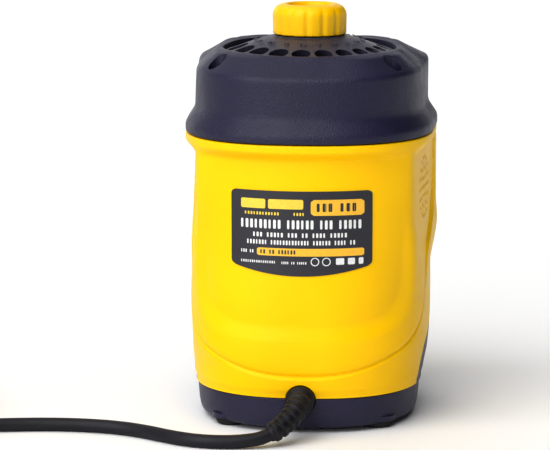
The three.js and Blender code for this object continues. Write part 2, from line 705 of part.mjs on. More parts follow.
function powerSwitch() {
  const group = subGroup();
  const bezel = block([-8, SWITCH_FACE - 1.8, SWITCH_Z - 11.2], [8, SWITCH_FACE, SWITCH_Z + 11.2]);
  const can = block([-6.3, SWITCH_FACE - 1, SWITCH_Z - 9.5], [6.3, SWITCH_FACE + 15, SWITCH_Z + 9.5]);
  const well = block([-5.2, SWITCH_FACE - 5, SWITCH_Z - 8.4], [5.2, SWITCH_FACE + 6, SWITCH_Z + 8.4]);
  place(group, 'switch_body', cut(unite(bezel, can), well), 'rubber', 0.5);

  const shape = new THREE.Shape();
  shape.moveTo(-7.4, 0.4);
  shape.quadraticCurveTo(0, -1.4, 7.4, 0.4);
  shape.lineTo(6.2, 3.6);
  shape.lineTo(-6.2, 3.6);
  shape.closePath();
  const rocker = extrude(shape, -4.9, 4.9, 4);
  // The outline's x is the machine's z and its y the machine's y, so the extrusion runs along X.
  const turned = rocker.rotate(0, 0, THREE.MathUtils.radToDeg(ROCKER_TILT)).rotate(0, 90, 0);
  place(group, 'switch_rocker', turned.translate(0, SWITCH_FACE - 1.2, SWITCH_Z), 'red', 0.35);
}

function ratingLabel() {
  const rows = [];
  const half = 36;
  for (let j = 0; j <= 4; j += 1) {
    const z = 84 + (128 - 84) * (j / 4);
    const line = [];
    for (let i = 0; i <= 10; i += 1) {
      line.push([-half + (2 * half * i) / 10, z]);
    }
    rows.push(line);
  }
  const lift = (x, z, out) => {
    const r = bodyRadius(Math.atan2(60, x), z) + out;
    const y = Math.sqrt(r * r - x * x);
    return [x, y, z];
  };
  const count = rows[0].length;
  const at = [];
  for (const out of [GAP, GAP + 0.5]) {
    for (const line of rows) {
      for (const [x, z] of line) at.push(...lift(x, z, out));
    }
  }
  const layer = rows.length * count;
  const faces = [];
  const quad = (a, b, c, d) => faces.push(a, b, c, a, c, d);
  for (let j = 0; j < rows.length - 1; j += 1) {
    for (let i = 0; i < count - 1; i += 1) {
      const k = j * count + i;
      quad(k, k + count, k + count + 1, k + 1);
      quad(layer + k, layer + k + 1, layer + k + count + 1, layer + k + count);
    }
  }
  for (let i = 0; i < count - 1; i += 1) {
    const top = (rows.length - 1) * count + i;
    quad(i, i + 1, layer + i + 1, layer + i);
    quad(top + 1, top, layer + top, layer + top + 1);
  }
  for (let j = 0; j < rows.length - 1; j += 1) {
    const left = j * count;
    const right = left + count - 1;
    quad(left + count, left, layer + left, layer + left + count);
    quad(right, right + count, layer + right + count, layer + right);
  }
  const geometry = new THREE.BufferGeometry();
  geometry.setAttribute('position', new THREE.Float32BufferAttribute(at, 3));
  geometry.setIndex(faces);
  place(model, 'rating_label', toSolid(geometry), 'label', 0.45);
}

// The lead's centre line from the casing to the coil, lying on the floor beyond its first points.
const LEAD_ROUTE = [
  [0, 64, CORD_EXIT_Z],
  [0.6, 72, 17.3],
  [3.6, 80.5, 13.4],
  [10.2, 88, 8.4],
  [17.5, 92.2, 5.2],
  [25, 94, 4.1],
  [33, 95, 3.6],
  [42, 95, 3.5],
  [51, 93, 3.5],
  [60, 88.8, 3.5],
  [69, 82.8, 3.5],
  [78, 76.4, 3.5],
  [88, 70.8, 3.5],
  [99, 66.8, 3.5],
  [112, 64.4, 3.5],
  [126, 63.8, 3.5],
  [141, 65, 3.5],
  [156, 67.6, 3.5],
  [171, 71, 3.5],
  [184, 73.8, 3.5],
  [197, 75.6, 3.5],
];
const BOOT_LENGTH = 34;
const COIL_CENTRE = [228, 36];
const COIL_MEAN_R = 38.5;
const COIL_LAYERS = 3;
const PLUG_BEARING = THREE.MathUtils.degToRad(-15);
const PLUG_Z = 7.4;
const PLUG_START = 27.5;

// A round tube along a smooth route, between two lengths measured from its start.
function tube(route, from, to, radiusAt, sides, steps) {
  const curve = new THREE.CatmullRomCurve3(route.map((p) => new THREE.Vector3(...p)), false, 'centripetal');
  const whole = curve.getLength();
  const rings = [];
  for (let j = 0; j <= steps; j += 1) {
    const u = Math.min(1, (from + ((Math.min(to, whole) - from) * j) / steps) / whole);
    const centre = curve.getPointAt(u);
    const along = curve.getTangentAt(u);
    const side = new THREE.Vector3(0, 0, 1).cross(along).normalize();
    const up = along.clone().cross(side);
    const r = radiusAt(j / steps);
    const ringPoints = [];
    for (let i = 0; i < sides; i += 1) {
      const angle = (2 * Math.PI * i) / sides;
      const point = centre
        .clone()
        .addScaledVector(side, r * Math.cos(angle))
        .addScaledVector(up, r * Math.sin(angle));
      ringPoints.push(point.toArray());
    }
    rings.push(ringPoints);
  }
  return skin(rings, false);
}

function lead() {
  const group = subGroup();
  const flange = rod(7.5, [0, 54.5, CORD_EXIT_Z], [0, 65, CORD_EXIT_Z], 20);
  const boot = tube(LEAD_ROUTE, 0, BOOT_LENGTH, (t) => BOOT_R - 1.1 * t, 12, 7);
  const stem = rod(CORD_R + 0.8, [0, 48, CORD_EXIT_Z], [0, 56, CORD_EXIT_Z], 12);
  place(group, 'cord_boot', unite(flange, boot, stem), 'rubber', 0.7);

  const cable = tube(LEAD_ROUTE, BOOT_LENGTH + GAP, Infinity, () => CORD_R, 10, 14);
  place(group, 'power_cord', cable, 'rubber', 0.6);

  const [cx, cy] = COIL_CENTRE;
  const half = 2 * CORD_R;
  const high = 2 * CORD_R * COIL_LAYERS;
  const bundle = lathe(
    [
      [COIL_MEAN_R - half + 2, 0],
      [COIL_MEAN_R + half - 2, 0],
      [COIL_MEAN_R + half, 2],
      [COIL_MEAN_R + half, high - 2],
      [COIL_MEAN_R + half - 2, high],
      [COIL_MEAN_R - half + 2, high],
      [COIL_MEAN_R - half, high - 2],
      [COIL_MEAN_R - half, 2],
    ],
    28,
  );
  place(group, 'cord_coil', bundle.translate(cx, cy, 0), 'rubber', 0.6);

  const tieOuter = block([-5, COIL_MEAN_R - half - 2, 0.2], [5, COIL_MEAN_R + half + 1.7, high + 1.6]);
  const tieInner = block([-6, COIL_MEAN_R - half - 0.8, -1], [6, COIL_MEAN_R + half + 0.5, high + GAP]);
  place(group, 'cord_tie', cut(tieOuter, tieInner).rotate(0, 0, 200).translate(cx, cy, 0), 'label', 0.8);

  // The plug is drawn with its pins along +X, then turned to lie tangent to the coil.
  const width = new THREE.Shape();
  width.moveTo(20, -5);
  width.lineTo(26, -6.5);
  width.lineTo(42, -17.5);
  width.lineTo(56, -17.8);
  width.lineTo(56, 17.8);
  width.lineTo(42, 17.5);
  width.lineTo(26, 6.5);
  width.lineTo(20, 5);
  width.closePath();
  const moulding = extrude(width, -6.9, 6.9);
  const relief = tube([[0, 0, 0], [11, 0, 0], [23, 0, 0]], 0, 23, (t) => 4.3 + t, 12, 2);
  const socket = (y) => rod(2.5, [48, y, 0], [60, y, 0], 10);
  const outward = [Math.cos(PLUG_BEARING), Math.sin(PLUG_BEARING)];
  const heading = [Math.sin(PLUG_BEARING), -Math.cos(PLUG_BEARING)];
  const tangentR = COIL_MEAN_R + CORD_R;
  const root = [0, 1].map((k) => COIL_CENTRE[k] + tangentR * outward[k] + PLUG_START * heading[k]);
  const lay = (solid) => {
    const degrees = THREE.MathUtils.radToDeg(Math.atan2(heading[1], heading[0]));
    return solid.rotate(0, 0, degrees).translate(root[0], root[1], PLUG_Z);
  };
  place(group, 'plug_body', lay(cut(unite(moulding, relief), socket(-9.3), socket(9.3))), 'rubber', 0.6);
  [-9.3, 9.3].forEach((y, i) => {
    place(group, `plug_pin_${i + 1}`, lay(rod(2, [48.3, y, 0], [75, y, 0], 12)), 'brass', 0.3, 0.9);
  });
}

function leadClamp() {
  const group = subGroup();
  const spots = [-9, 9];
  const saddle = cut(
    block([-12.5, 49.2, CORD_EXIT_Z - 3], [12.5, 53.8, CORD_EXIT_Z + 7]),
    rod(CORD_R + 0.8 + GAP, [0, 40, CORD_EXIT_Z], [0, 60, CORD_EXIT_Z], 12),
    block([-CORD_R - 1.1, 45, CORD_EXIT_Z - 6], [CORD_R + 1.1, 58, CORD_EXIT_Z]),
    ...spots.map((x) => disc(1.7, 0, 40, 8).translate(x, 51.5, 0)),
  );
  place(group, 'cord_clamp', saddle, 'charcoal', 0.6);
  spots.forEach((x, i) => {
    const screwHead = disc(2.9, CORD_EXIT_Z + 7.3, CORD_EXIT_Z + 9.3, 10);
    const screw = unite(screwHead, disc(1.4, 11, CORD_EXIT_Z + 8, 8));
    place(group, `clamp_screw_${i + 1}`, screw.translate(x, 51.5, 0), 'zinc', 0.4, 0.9);
  });
}

casing();
head();
clamp();
motor();
rotor();
chamberFloor();
powerSwitch();
ratingLabel();
lead();
leadClamp();

export default model;
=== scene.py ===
"""Drill bit sharpener: fine surfaces, materials, lead, floor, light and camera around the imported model.
Shapes are worked out in millimetres and turned into metres when they become meshes."""
import math

import bmesh
import bpy
from mathutils import Matrix, Vector, kdtree


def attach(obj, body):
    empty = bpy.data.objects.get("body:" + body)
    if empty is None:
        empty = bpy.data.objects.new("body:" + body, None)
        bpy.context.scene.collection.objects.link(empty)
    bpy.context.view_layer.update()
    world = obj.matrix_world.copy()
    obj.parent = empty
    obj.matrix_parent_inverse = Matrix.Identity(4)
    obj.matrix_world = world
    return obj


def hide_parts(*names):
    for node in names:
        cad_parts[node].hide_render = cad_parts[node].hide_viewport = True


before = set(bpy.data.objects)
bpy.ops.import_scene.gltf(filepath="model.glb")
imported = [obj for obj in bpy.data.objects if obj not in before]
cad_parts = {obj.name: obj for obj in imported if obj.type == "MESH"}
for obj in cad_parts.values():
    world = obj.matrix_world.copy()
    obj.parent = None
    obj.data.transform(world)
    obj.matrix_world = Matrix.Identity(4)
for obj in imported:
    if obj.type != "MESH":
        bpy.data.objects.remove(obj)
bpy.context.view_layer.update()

MM = 0.001
TAU = 2 * math.pi


def new_object(name, data):
    """An object in the scene that shows data."""
    made = bpy.data.objects.new(name, data)
    bpy.context.scene.collection.objects.link(made)
    return made


# -------- camera
def make_camera():
    """The camera looks at the machine's rear, a little from above and from its -X side."""
    target = Vector((0, 0, 0.0993))
    elevation = math.radians(9.5)
    yaw = math.radians(4.8)
    distance = 1.6
    sideways = 0.0182
    look = Vector((
        math.sin(yaw) * math.cos(elevation),
        -math.cos(yaw) * math.cos(elevation),
        -math.sin(elevation),
    ))
    right = Vector((-math.cos(yaw), -math.sin(yaw), 0))
    camera = new_object("camera", bpy.data.cameras.new("camera"))
    camera.location = target - look * distance - right * sideways
    camera.rotation_euler = look.to_track_quat("-Z", "Y").to_euler()
    camera.data.lens = 197.6
    camera.data.sensor_width = 36
    camera.data.clip_end = 30
    bpy.context.scene.camera = camera


make_camera()


# -------- material nodes
def new_material(name, colour, roughness, metallic=0.0):
    """A material, its node tree and its shader, with the shader's plain values set."""
    material = bpy.data.materials.new(name)
    material.use_nodes = True
    tree = material.node_tree
    shader = tree.nodes["Principled BSDF"]
    shader.inputs["Base Color"].default_value = (*colour, 1)
    shader.inputs["Roughness"].default_value = roughness
    shader.inputs["Metallic"].default_value = metallic
    return material, tree, shader


def add_node(tree, kind, inputs):
    """A new node, with each named input set to a value, or linked where the value is a node's output."""
    node = tree.nodes.new(kind)
    for name, value in inputs.items():
        if isinstance(value, bpy.types.NodeSocket):
            tree.links.new(value, node.inputs[name])
        else:
            node.inputs[name].default_value = value
    return node


def object_coordinates(tree, stretch=(1, 1, 1)):
    place = tree.nodes.new("ShaderNodeTexCoord")
    mapping = add_node(tree, "ShaderNodeMapping", {"Scale": stretch, "Vector": place.outputs["Object"]})
    return mapping.outputs["Vector"]


def noise(tree, vector, size, detail):
    """Noise whose features are about size metres wide."""
    node = add_node(tree, "ShaderNodeTexNoise", {"Scale": 1 / size, "Detail": detail, "Vector": vector})
    return node.outputs["Fac"]


def ramp(tree, value, low, high, from_low=0.3, from_high=0.7):
    """value, which lies from from_low to from_high, moved to low to high."""
    node = add_node(tree, "ShaderNodeMapRange", {
        "From Min": from_low, "From Max": from_high, "To Min": low, "To Max": high, "Value": value,
    })
    return node.outputs["Result"]


def blend(tree, shader, factor, stops):
    """The shader's colour goes from one to the other of two (position, colour) stops with factor."""
    node = add_node(tree, "ShaderNodeValToRGB", {"Fac": factor})
    for mark, (position, colour) in zip(node.color_ramp.elements, stops):
        mark.position = position
        mark.color = (*colour, 1)
    tree.links.new(node.outputs["Color"], shader.inputs["Base Color"])


def bump(tree, shader, height, strength, depth, edge_radius=0.0):
    """Relief depth metres deep, over edges that are softened by edge_radius metres."""
    node = add_node(tree, "ShaderNodeBump", {"Strength": strength, "Distance": depth, "Height": height})
    if edge_radius > 0:
        edge = add_node(tree, "ShaderNodeBevel", {"Radius": edge_radius})
        edge.samples = 4
        tree.links.new(edge.outputs["Normal"], node.inputs["Normal"])
    tree.links.new(node.outputs["Normal"], shader.inputs["Normal"])


def wear(tree, value, change):
    """value changed along outer edges, where hands and tools rub."""
    geometry = tree.nodes.new("ShaderNodeNewGeometry")
    edges = ramp(tree, geometry.outputs["Pointiness"], 0, change, 0.52, 0.6)
    total = add_node(tree, "ShaderNodeMath", {0: value, 1: edges})
    total.operation = "ADD"
    return total.outputs["Value"]


TONE_PATCH, RUBBED_PATCH = 0.045, 0.012
EDGE_SOFTNESS = 0.0004
METAL_TINT = 0.12


def moulded_plastic(name, colour, roughness, gloss=0.5, tint=0.04, grain=0.0005, depth=0.00006, strength=0.3):
    """Injection-moulded plastic: a slightly uneven tone, a fine grain and a few rubbed places."""
    material, tree, shader = new_material(name, colour, roughness)
    shader.inputs["Specular IOR Level"].default_value = gloss
    vector = object_coordinates(tree)
    tone = noise(tree, vector, TONE_PATCH, 3)
    low = tuple(c * (1 - tint) for c in colour)
    high = tuple(min(1, c * (1 + tint)) for c in colour)
    blend(tree, shader, tone, [(0.3, low), (0.7, high)])
    rubbed = ramp(tree, noise(tree, vector, RUBBED_PATCH, 4), roughness - 0.05, roughness + 0.06)
    tree.links.new(wear(tree, rubbed, -0.08), shader.inputs["Roughness"])
    bump(tree, shader, noise(tree, vector, grain, 2), strength, depth, EDGE_SOFTNESS)
    return material


def metal(name, colour, roughness, stretch=(1, 1, 1)):
    """Worked metal: fine scratches along one direction and a cloudy tone."""
    material, tree, shader = new_material(name, colour, roughness, 1.0)
    vector = object_coordinates(tree, stretch)
    cloud = noise(tree, vector, 0.006, 4)
    low = tuple(c * (1 - METAL_TINT) for c in colour)
    blend(tree, shader, cloud, [(0.35, low), (0.65, colour)])
    tree.links.new(ramp(tree, cloud, roughness - 0.06, roughness + 0.1), shader.inputs["Roughness"])
    bump(tree, shader, noise(tree, vector, 0.0007, 3), 0.25, 0.00004)
    return material


def banded(name, kind, colour, roughness, metallic, fineness, distortion, stops, relief):
    """Fine bands: RINGS are laid round the motor's axis, BANDS are stacked along it."""
    material, tree, shader = new_material(name, colour, roughness, metallic)
    wave = add_node(tree, "ShaderNodeTexWave", {
        "Scale": fineness, "Distortion": distortion, "Vector": object_coordinates(tree),
    })
    wave.wave_type = kind
    wave.rings_direction = wave.bands_direction = "Z"
    blend(tree, shader, wave.outputs["Fac"], stops)
    bump(tree, shader, wave.outputs["Fac"], *relief)
    return material


def abrasive():
    """Bonded grit."""
    material, tree, shader = new_material("abrasive", (0.55, 0.53, 0.5), 0.95)
    grit = add_node(tree, "ShaderNodeTexVoronoi", {"Scale": 1600, "Vector": object_coordinates(tree)})
    blend(tree, shader, grit.outputs["Distance"], [(0.1, (0.28, 0.26, 0.24)), (0.7, (0.66, 0.64, 0.6))])
    bump(tree, shader, grit.outputs["Distance"], 0.9, 0.0004)
    return material


def printed(name, colour, roughness=0.42):
    """A printed film, with the slight unevenness of the ink."""
    material, tree, shader = new_material(name, colour, roughness)
    vector = object_coordinates(tree)
    ink = noise(tree, vector, 0.0012, 3)
    low = tuple(c * 0.9 for c in colour)
    blend(tree, shader, ink, [(0.35, low), (0.65, colour)])
    tree.links.new(ramp(tree, ink, roughness - 0.04, roughness + 0.06), shader.inputs["Roughness"])
    bump(tree, shader, ink, 0.1, 0.00003)
    return material


YELLOW = moulded_plastic("yellow_plastic", (0.95, 0.585, 0.0), 0.4, 0.2, 0.015, 0.0009, 0.00004, 0.16)
KNOB_YELLOW = moulded_plastic("knob_plastic", (0.94, 0.56, 0.0), 0.34, 0.28, 0.02, 0.0009, 0.00004, 0.14)
# The coarse, even grain that a spark-eroded mould leaves.
GRAINY = {"tint": 0.12, "grain": 0.0009, "depth": 0.0004, "strength": 0.9}
CHARCOAL = moulded_plastic("charcoal_plastic", (0.021, 0.0195, 0.052), 0.42, 0.42, **GRAINY)
# The guide dome is the same charcoal plastic as the cap, painted lighter and cooler as painted light against
# the knob's shadow and warm bounce.
DOME_CHARCOAL_PAINTED_LIGHT = moulded_plastic("dome_charcoal_painted_light", (0.042, 0.04, 0.068), 0.42, 0.6, **GRAINY)
# The raised size numbers are the dome's own charcoal plastic, painted lighter still as a painted highlight,
# standing in for the glints on them.
NUMBER_PAINTED_HIGHLIGHT = moulded_plastic("number_plastic_painted_highlight", (0.06, 0.058, 0.09), 0.42, 0.6, **GRAINY)
BLACK = moulded_plastic("smooth_black", (0.02, 0.02, 0.026), 0.36, 0.5, 0.1, 0.0007, 0.00004, 0.2)
SOFT = {"gloss": 0.4, "tint": 0.15, "grain": 0.0011, "depth": 0.00008}
RUBBER = moulded_plastic("black_rubber", (0.009, 0.009, 0.014), 0.5, **SOFT)
FOOT_RUBBER = moulded_plastic("foot_rubber", (0.02, 0.02, 0.022), 0.75, **SOFT)
ZINC = metal("zinc_steel", (0.72, 0.73, 0.74), 0.34)
STEEL = metal("steel", (0.62, 0.63, 0.65), 0.28, (1, 1, 12))
BRASS = metal("brass", (0.78, 0.56, 0.24), 0.28, (1, 1, 8))
ALUMINIUM = metal("aluminium", (0.66, 0.67, 0.69), 0.45)
COPPER = banded(
    "copper_winding", "RINGS", (0.55, 0.2, 0.07), 0.35, 0.7, 260, 1.5,
    [(0.2, (0.25, 0.08, 0.03)), (0.8, (0.62, 0.25, 0.09))], (0.8, 0.0005),
)
LAMINATION = banded(
    "lamination", "BANDS", (0.3, 0.31, 0.33), 0.45, 0.9, 320, 0.3,
    [(0.1, (0.12, 0.12, 0.13)), (0.6, (0.36, 0.37, 0.39))], (0.6, 0.0003),
)
ABRASIVE = abrasive()
LABEL = printed("label_film", (0.034, 0.034, 0.044), 0.4)
INK_WHITE = printed("ink_white", (0.78, 0.78, 0.78))
INK_YELLOW = printed("ink_yellow", (0.83, 0.62, 0.08))
INK_ORANGE = printed("ink_orange", (0.88, 0.52, 0.05))
RED = moulded_plastic("red_plastic", (0.42, 0.012, 0.008), 0.3)


# -------- shapes: (points, faces) in millimetres
def clamp(value):
    return min(1.0, max(0.0, value))


def mix(a, b, t):
    return a + (b - a) * t


def smooth(edge0, edge1, value):
    t = clamp((value - edge0) / (edge1 - edge0))
    return t * t * (3 - 2 * t)


def curve_through(knots):
    """A smooth function through (position, value) knots that doesn't overshoot, level beyond both ends."""
    steps = [(b[0] - a[0], (b[1] - a[1]) / (b[0] - a[0])) for a, b in zip(knots, knots[1:])]
    slopes = [0.0]
    for (h0, s0), (h1, s1) in zip(steps, steps[1:]):
        slopes.append(0.0 if s0 * s1 <= 0 else (h0 + h1) / ((h0 / 2 + h1) / s0 + (h0 + h1 / 2) / s1) * 1.5)
    slopes.append(0.0)

    def value(at):
        if at <= knots[0][0]:
            return knots[0][1]
        for i, (h, _) in enumerate(steps):
            if at <= knots[i + 1][0]:
                t = (at - knots[i][0]) / h
                a, b = knots[i][1], knots[i + 1][1]
                return (
                    a * (1 + 2 * t) * (1 - t) ** 2
                    + h * slopes[i] * t * (1 - t) ** 2
                    + b * t * t * (3 - 2 * t)
                    - h * slopes[i + 1] * t * t * (1 - t)
                )
        return knots[-1][1]

    return value


def bezier(a, b, c, t):
    return a.lerp(b, t).lerp(b.lerp(c, t), t)


def rounded(corners, looped, steps):
    """A profile through (r, z, fillet, cuts) corners: fillet is how far the rounding reaches along each leg,
    and cuts is how many stretches the leg after the corner is made of."""
    count = len(corners)
    bends = []
    for i, (r, z, fillet, _) in enumerate(corners):
        here = Vector((r, z))
        if fillet == 0:
            bends.append([here])
            continue
        before = Vector(corners[i - 1][:2])
        after = Vector(corners[(i + 1) % count][:2])
        a = here + (before - here).normalized() * fillet
        b = here + (after - here).normalized() * fillet
        bends.append([bezier(a, here, b, k / steps) for k in range(steps + 1)])
    profile = []
    for i, bend in enumerate(bends):
        profile += bend
        if i == count - 1 and not looped:
            continue
        start, end, cuts = bend[-1], bends[(i + 1) % count][0], corners[i][3]
        profile += [start.lerp(end, k / cuts) for k in range(1, cuts)]
    return [(p.x, p.y) for p in profile]


def skin(rings, looped):
    """Rings of equal length joined up. A looped skin joins its last ring to its first; others get caps."""
    count = len(rings[0])
    points = [p for ring in rings for p in ring]
    faces = []
    for j in range(len(rings) if looped else len(rings) - 1):
        upper = (j + 1) % len(rings)
        for i in range(count):
            after = (i + 1) % count
            faces.append((j * count + i, j * count + after, upper * count + after, upper * count + i))
    if not looped:
        faces.append(tuple(range(count)))
        faces.append(tuple((len(rings) - 1) * count + i for i in range(count)))
    return points, faces


def revolve(profile_at, steps, looped=True):
    """profile_at(angle) gives the (r, z) profile at that angle from +X."""
    columns = []
    for i in range(steps):
        angle = TAU * i / steps
        c, s = math.cos(angle), math.sin(angle)
        columns.append([(r * c, r * s, z) for r, z in profile_at(angle)])
    rings = [[column[j] for column in columns] for j in range(len(columns[0]))]
    return skin(rings, looped)


def lathe(corners, steps, looped=True):
    profile = rounded(corners, looped, 4)
    return revolve(lambda angle: profile, steps, looped)


def circle(radius, sides):
    return [(radius * math.cos(TAU * k / sides), radius * math.sin(TAU * k / sides)) for k in range(sides)]


def tube(line, radius_at, sides):
    """A round tube along points, with radius_at(i) at the point of that number."""
    rings = []
    for i, here in enumerate(line):
        along = (line[min(i + 1, len(line) - 1)] - line[max(i - 1, 0)]).normalized()
        side = Vector((0, 0, 1)).cross(along).normalized()
        up = along.cross(side)
        rings.append([tuple(here + side * a + up * b) for a, b in circle(radius_at(i), sides)])
    return skin(rings, False)


def rod(radius, start, end, sides):
    start, end = Vector(start), Vector(end)
    turn = (end - start).to_track_quat("Z", "Y")
    rings = []
    for centre in (start, end):
        rings.append([tuple(centre + turn @ Vector((a, b, 0))) for a, b in circle(radius, sides)])
    return skin(rings, False)


def prism(outline, low, high, axis):
    """outline, a list of 2-D points, drawn out along axis from low to high."""
    at = "xyz".index(axis)
    rings = []
    for level in (low, high):
        rings.append([(*point[:at], level, *point[at:]) for point in outline])
    return skin(rings, False)


def corners_of(x, y):
    return [(x, y), (-x, y), (-x, -y), (x, -y)]


def rounded_outline(half_width, half_height, corner, centre, steps=5):
    outline = []
    for quarter, (sx, sy) in enumerate(corners_of(1, 1)):
        for k in range(steps + 1):
            angle = TAU / 4 * (quarter + k / steps)
            outline.append((
                centre[0] + sx * (half_width - corner) + corner * math.cos(angle),
                centre[1] + sy * (half_height - corner) + corner * math.sin(angle),
            ))
    return outline


def moved(solid, matrix):
    points, faces = solid
    return [tuple(matrix @ Vector(p)) for p in points], faces


def merged(*solids):
    points, faces = [], []
    for more_points, more_faces in solids:
        shift = len(points)
        points += more_points
        faces += [tuple(i + shift for i in face) for face in more_faces]
    return points, faces


# -------- meshes and pieces
def shaded(mesh, sharp=35):
    edit = bmesh.new()
    edit.from_mesh(mesh)
    bmesh.ops.recalc_face_normals(edit, faces=edit.faces)
    for face in edit.faces:
        face.smooth = True
    edit.to_mesh(mesh)
    edit.free()
    mesh.set_sharp_from_angle(angle=math.radians(sharp))
    return mesh


def mesh_of(solid, sharp=35):
    mesh = bpy.data.meshes.new("mesh")
    points, faces = solid
    mesh.from_pydata([[c * MM for c in p] for p in points], [], faces)
    return shaded(mesh, sharp)


def evaluated(carrier):
    """The mesh that an object shows, with its modifiers. The object is used up."""
    bpy.context.view_layer.update()
    result = bpy.data.meshes.new_from_object(carrier.evaluated_get(bpy.context.evaluated_depsgraph_get()))
    bpy.data.objects.remove(carrier)
    return result


def combined(mesh, other, operation):
    """Two closed meshes as one: UNION, DIFFERENCE, which takes other away, or INTERSECT."""
    tool = new_object("tool", other)
    carrier = new_object("carrier", mesh)
    modifier = carrier.modifiers.new("combine", "BOOLEAN")
    modifier.operation = operation
    modifier.solver = "MANIFOLD"
    modifier.object = tool
    result = evaluated(carrier)
    bpy.data.objects.remove(tool)
    return shaded(result)


def carve(mesh, tools, operation="DIFFERENCE"):
    return combined(mesh, mesh_of(tools), operation)


def piece(name, mesh, material, body, slot, *nodes):
    """A finished piece: it shows mesh, rides on a body, and stands for CAD nodes."""
    made = new_object(name, mesh)
    mesh.materials.clear()
    mesh.materials.append(material)
    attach(made, body)
    if nodes:
        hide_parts(*nodes)
    return made


# -------- lead
CORD_R = 3.5
CORD_EXIT = (0, 64, 18.3)
LEAD_ROUTE = [
    CORD_EXIT, (0.6, 72, 17.3), (3.6, 80.5, 13.4), (10.2, 88, 8.4), (17.5, 92.2, 5.2), (25, 94, 4.1),
    (33, 95, 3.6), (42, 95, 3.5), (51, 93, 3.5), (60, 88.8, 3.5), (69, 82.8, 3.5), (78, 76.4, 3.5),
    (88, 70.8, 3.5), (99, 66.8, 3.5), (112, 64.4, 3.5), (126, 63.8, 3.5), (141, 65, 3.5), (156, 67.6, 3.5),
    (171, 71, 3.5), (184, 73.8, 3.5), (197, 75.6, 3.5),
]
COIL_CENTRE = (228, 36)
COIL_RADII = (35, 42)
COIL_HEIGHTS = (3.5, 10.5, 17.5)
TIE_DEG = 200
COIL_START_DEG = 97
COIL_TRAVEL_DEG = 1912
# Where each turn lies, in the order of winding, as (radius, height).
COIL_SLOTS = [
    (COIL_RADII[1], COIL_HEIGHTS[0]), (COIL_RADII[0], COIL_HEIGHTS[0]), (COIL_RADII[0], COIL_HEIGHTS[1]),
    (COIL_RADII[0], COIL_HEIGHTS[2]), (COIL_RADII[1], COIL_HEIGHTS[2]), (COIL_RADII[1], COIL_HEIGHTS[1]),
]
COIL_FIRST_SHIFT_DEG = 270
COIL_SHIFT_EVERY_DEG = 318
COIL_SHIFT_LONG_DEG = 100
# The lead runs straight to the plug from the end of the coil, and climbs to the height of the plug's middle.
PLUG_START = 27.5
PLUG_Z = 7.4
# The boot's core and the height of its ribs, from the casing to the tip.
BOOT_LENGTH, BOOT_TIP = 34, 1.2
BOOT_CORE, BOOT_RIBS = (4.9, 4.25), (1.5, 1.0)
BOOT_PITCH = 4.1
COLLAR_HOLE_R = 7.9
GAP = 0.3


def spline(points, spacing):
    """A centripetal Catmull-Rom curve through points, as points about spacing apart."""
    knots = [Vector(p) for p in points]
    knots = [2 * knots[0] - knots[1], *knots, 2 * knots[-1] - knots[-2]]
    line = []
    for a, b, c, d in zip(knots, knots[1:], knots[2:], knots[3:]):
        t1 = (b - a).length ** 0.5
        t2 = t1 + (c - b).length ** 0.5
        t3 = t2 + (d - c).length ** 0.5
        count = max(1, round((c - b).length / spacing))
        for k in range(count):
            t = mix(t1, t2, k / count)
            ab, bc, cd = a.lerp(b, t / t1), b.lerp(c, (t - t1) / (t2 - t1)), c.lerp(d, (t - t2) / (t3 - t2))
            left = ab.lerp(bc, t / t2)
            rest = bc.lerp(cd, (t - t1) / (t3 - t1))
            line.append(left.lerp(rest, (t - t1) / (t2 - t1)))
    line.append(knots[-2].copy())
    return line


def coil_line():
    """The stored turns, from where the lead meets the coil to where it leaves for the plug."""
    line = []
    step = 4
    for k in range(COIL_TRAVEL_DEG // step + 1):
        travel = k * step
        radius, height = COIL_SLOTS[0]
        for i, (next_radius, next_height) in enumerate(COIL_SLOTS[1:]):
            begin = COIL_FIRST_SHIFT_DEG + COIL_SHIFT_EVERY_DEG * i
            shifted = smooth(begin, begin + COIL_SHIFT_LONG_DEG, travel)
            radius = mix(radius, next_radius, shifted)
            height = mix(height, next_height, shifted)
        angle = math.radians(COIL_START_DEG - travel)
        line.append(Vector((
            COIL_CENTRE[0] + radius * math.cos(angle), COIL_CENTRE[1] + radius * math.sin(angle), height,
        )))
    return line


def along_line(line, length):
    """The part of a line that is length long from its start."""
    kept = [line[0]]
    gone = 0
    for a, b in zip(line, line[1:]):
        leg = (b - a).length
        if gone + leg > length:
            kept.append(a.lerp(b, (length - gone) / leg))
            return kept
        kept.append(b)
        gone += leg
    return kept


def lead_line():
    coil = coil_line()
    last = math.radians(COIL_START_DEG - COIL_TRAVEL_DEG)
    heading = Vector((math.sin(last), -math.cos(last), 0))
    ending = []
    steps = 8
    for k in range(1, steps + 1):
        t = k / steps
        point = coil[-1] + heading * (PLUG_START * t)
        point.z = mix(coil[-1].z, PLUG_Z, smooth(0, 1, t))
        ending.append(point)
    return spline([*LEAD_ROUTE, tuple(coil[0])], 3)[:-1] + coil + ending, heading


def make_lead():
    line, heading = lead_line()
    shape = bpy.data.curves.new("power_lead", "CURVE")
    shape.dimensions = "3D"
    shape.bevel_depth = CORD_R * MM
    shape.bevel_resolution = 6
    shape.use_fill_caps = True
    run = shape.splines.new("POLY")
    run.points.add(len(line) - 1)
    for mark, point in zip(run.points, line):
        mark.co = (*(point * MM), 1)
    run.use_smooth = True
    lead = new_object("power_lead", shape)
    shape.materials.append(RUBBER)
    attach(lead, "housing")
    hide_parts("power_cord", "cord_coil")
    return lead, line[-1], heading


lead, plug_root, plug_heading = make_lead()


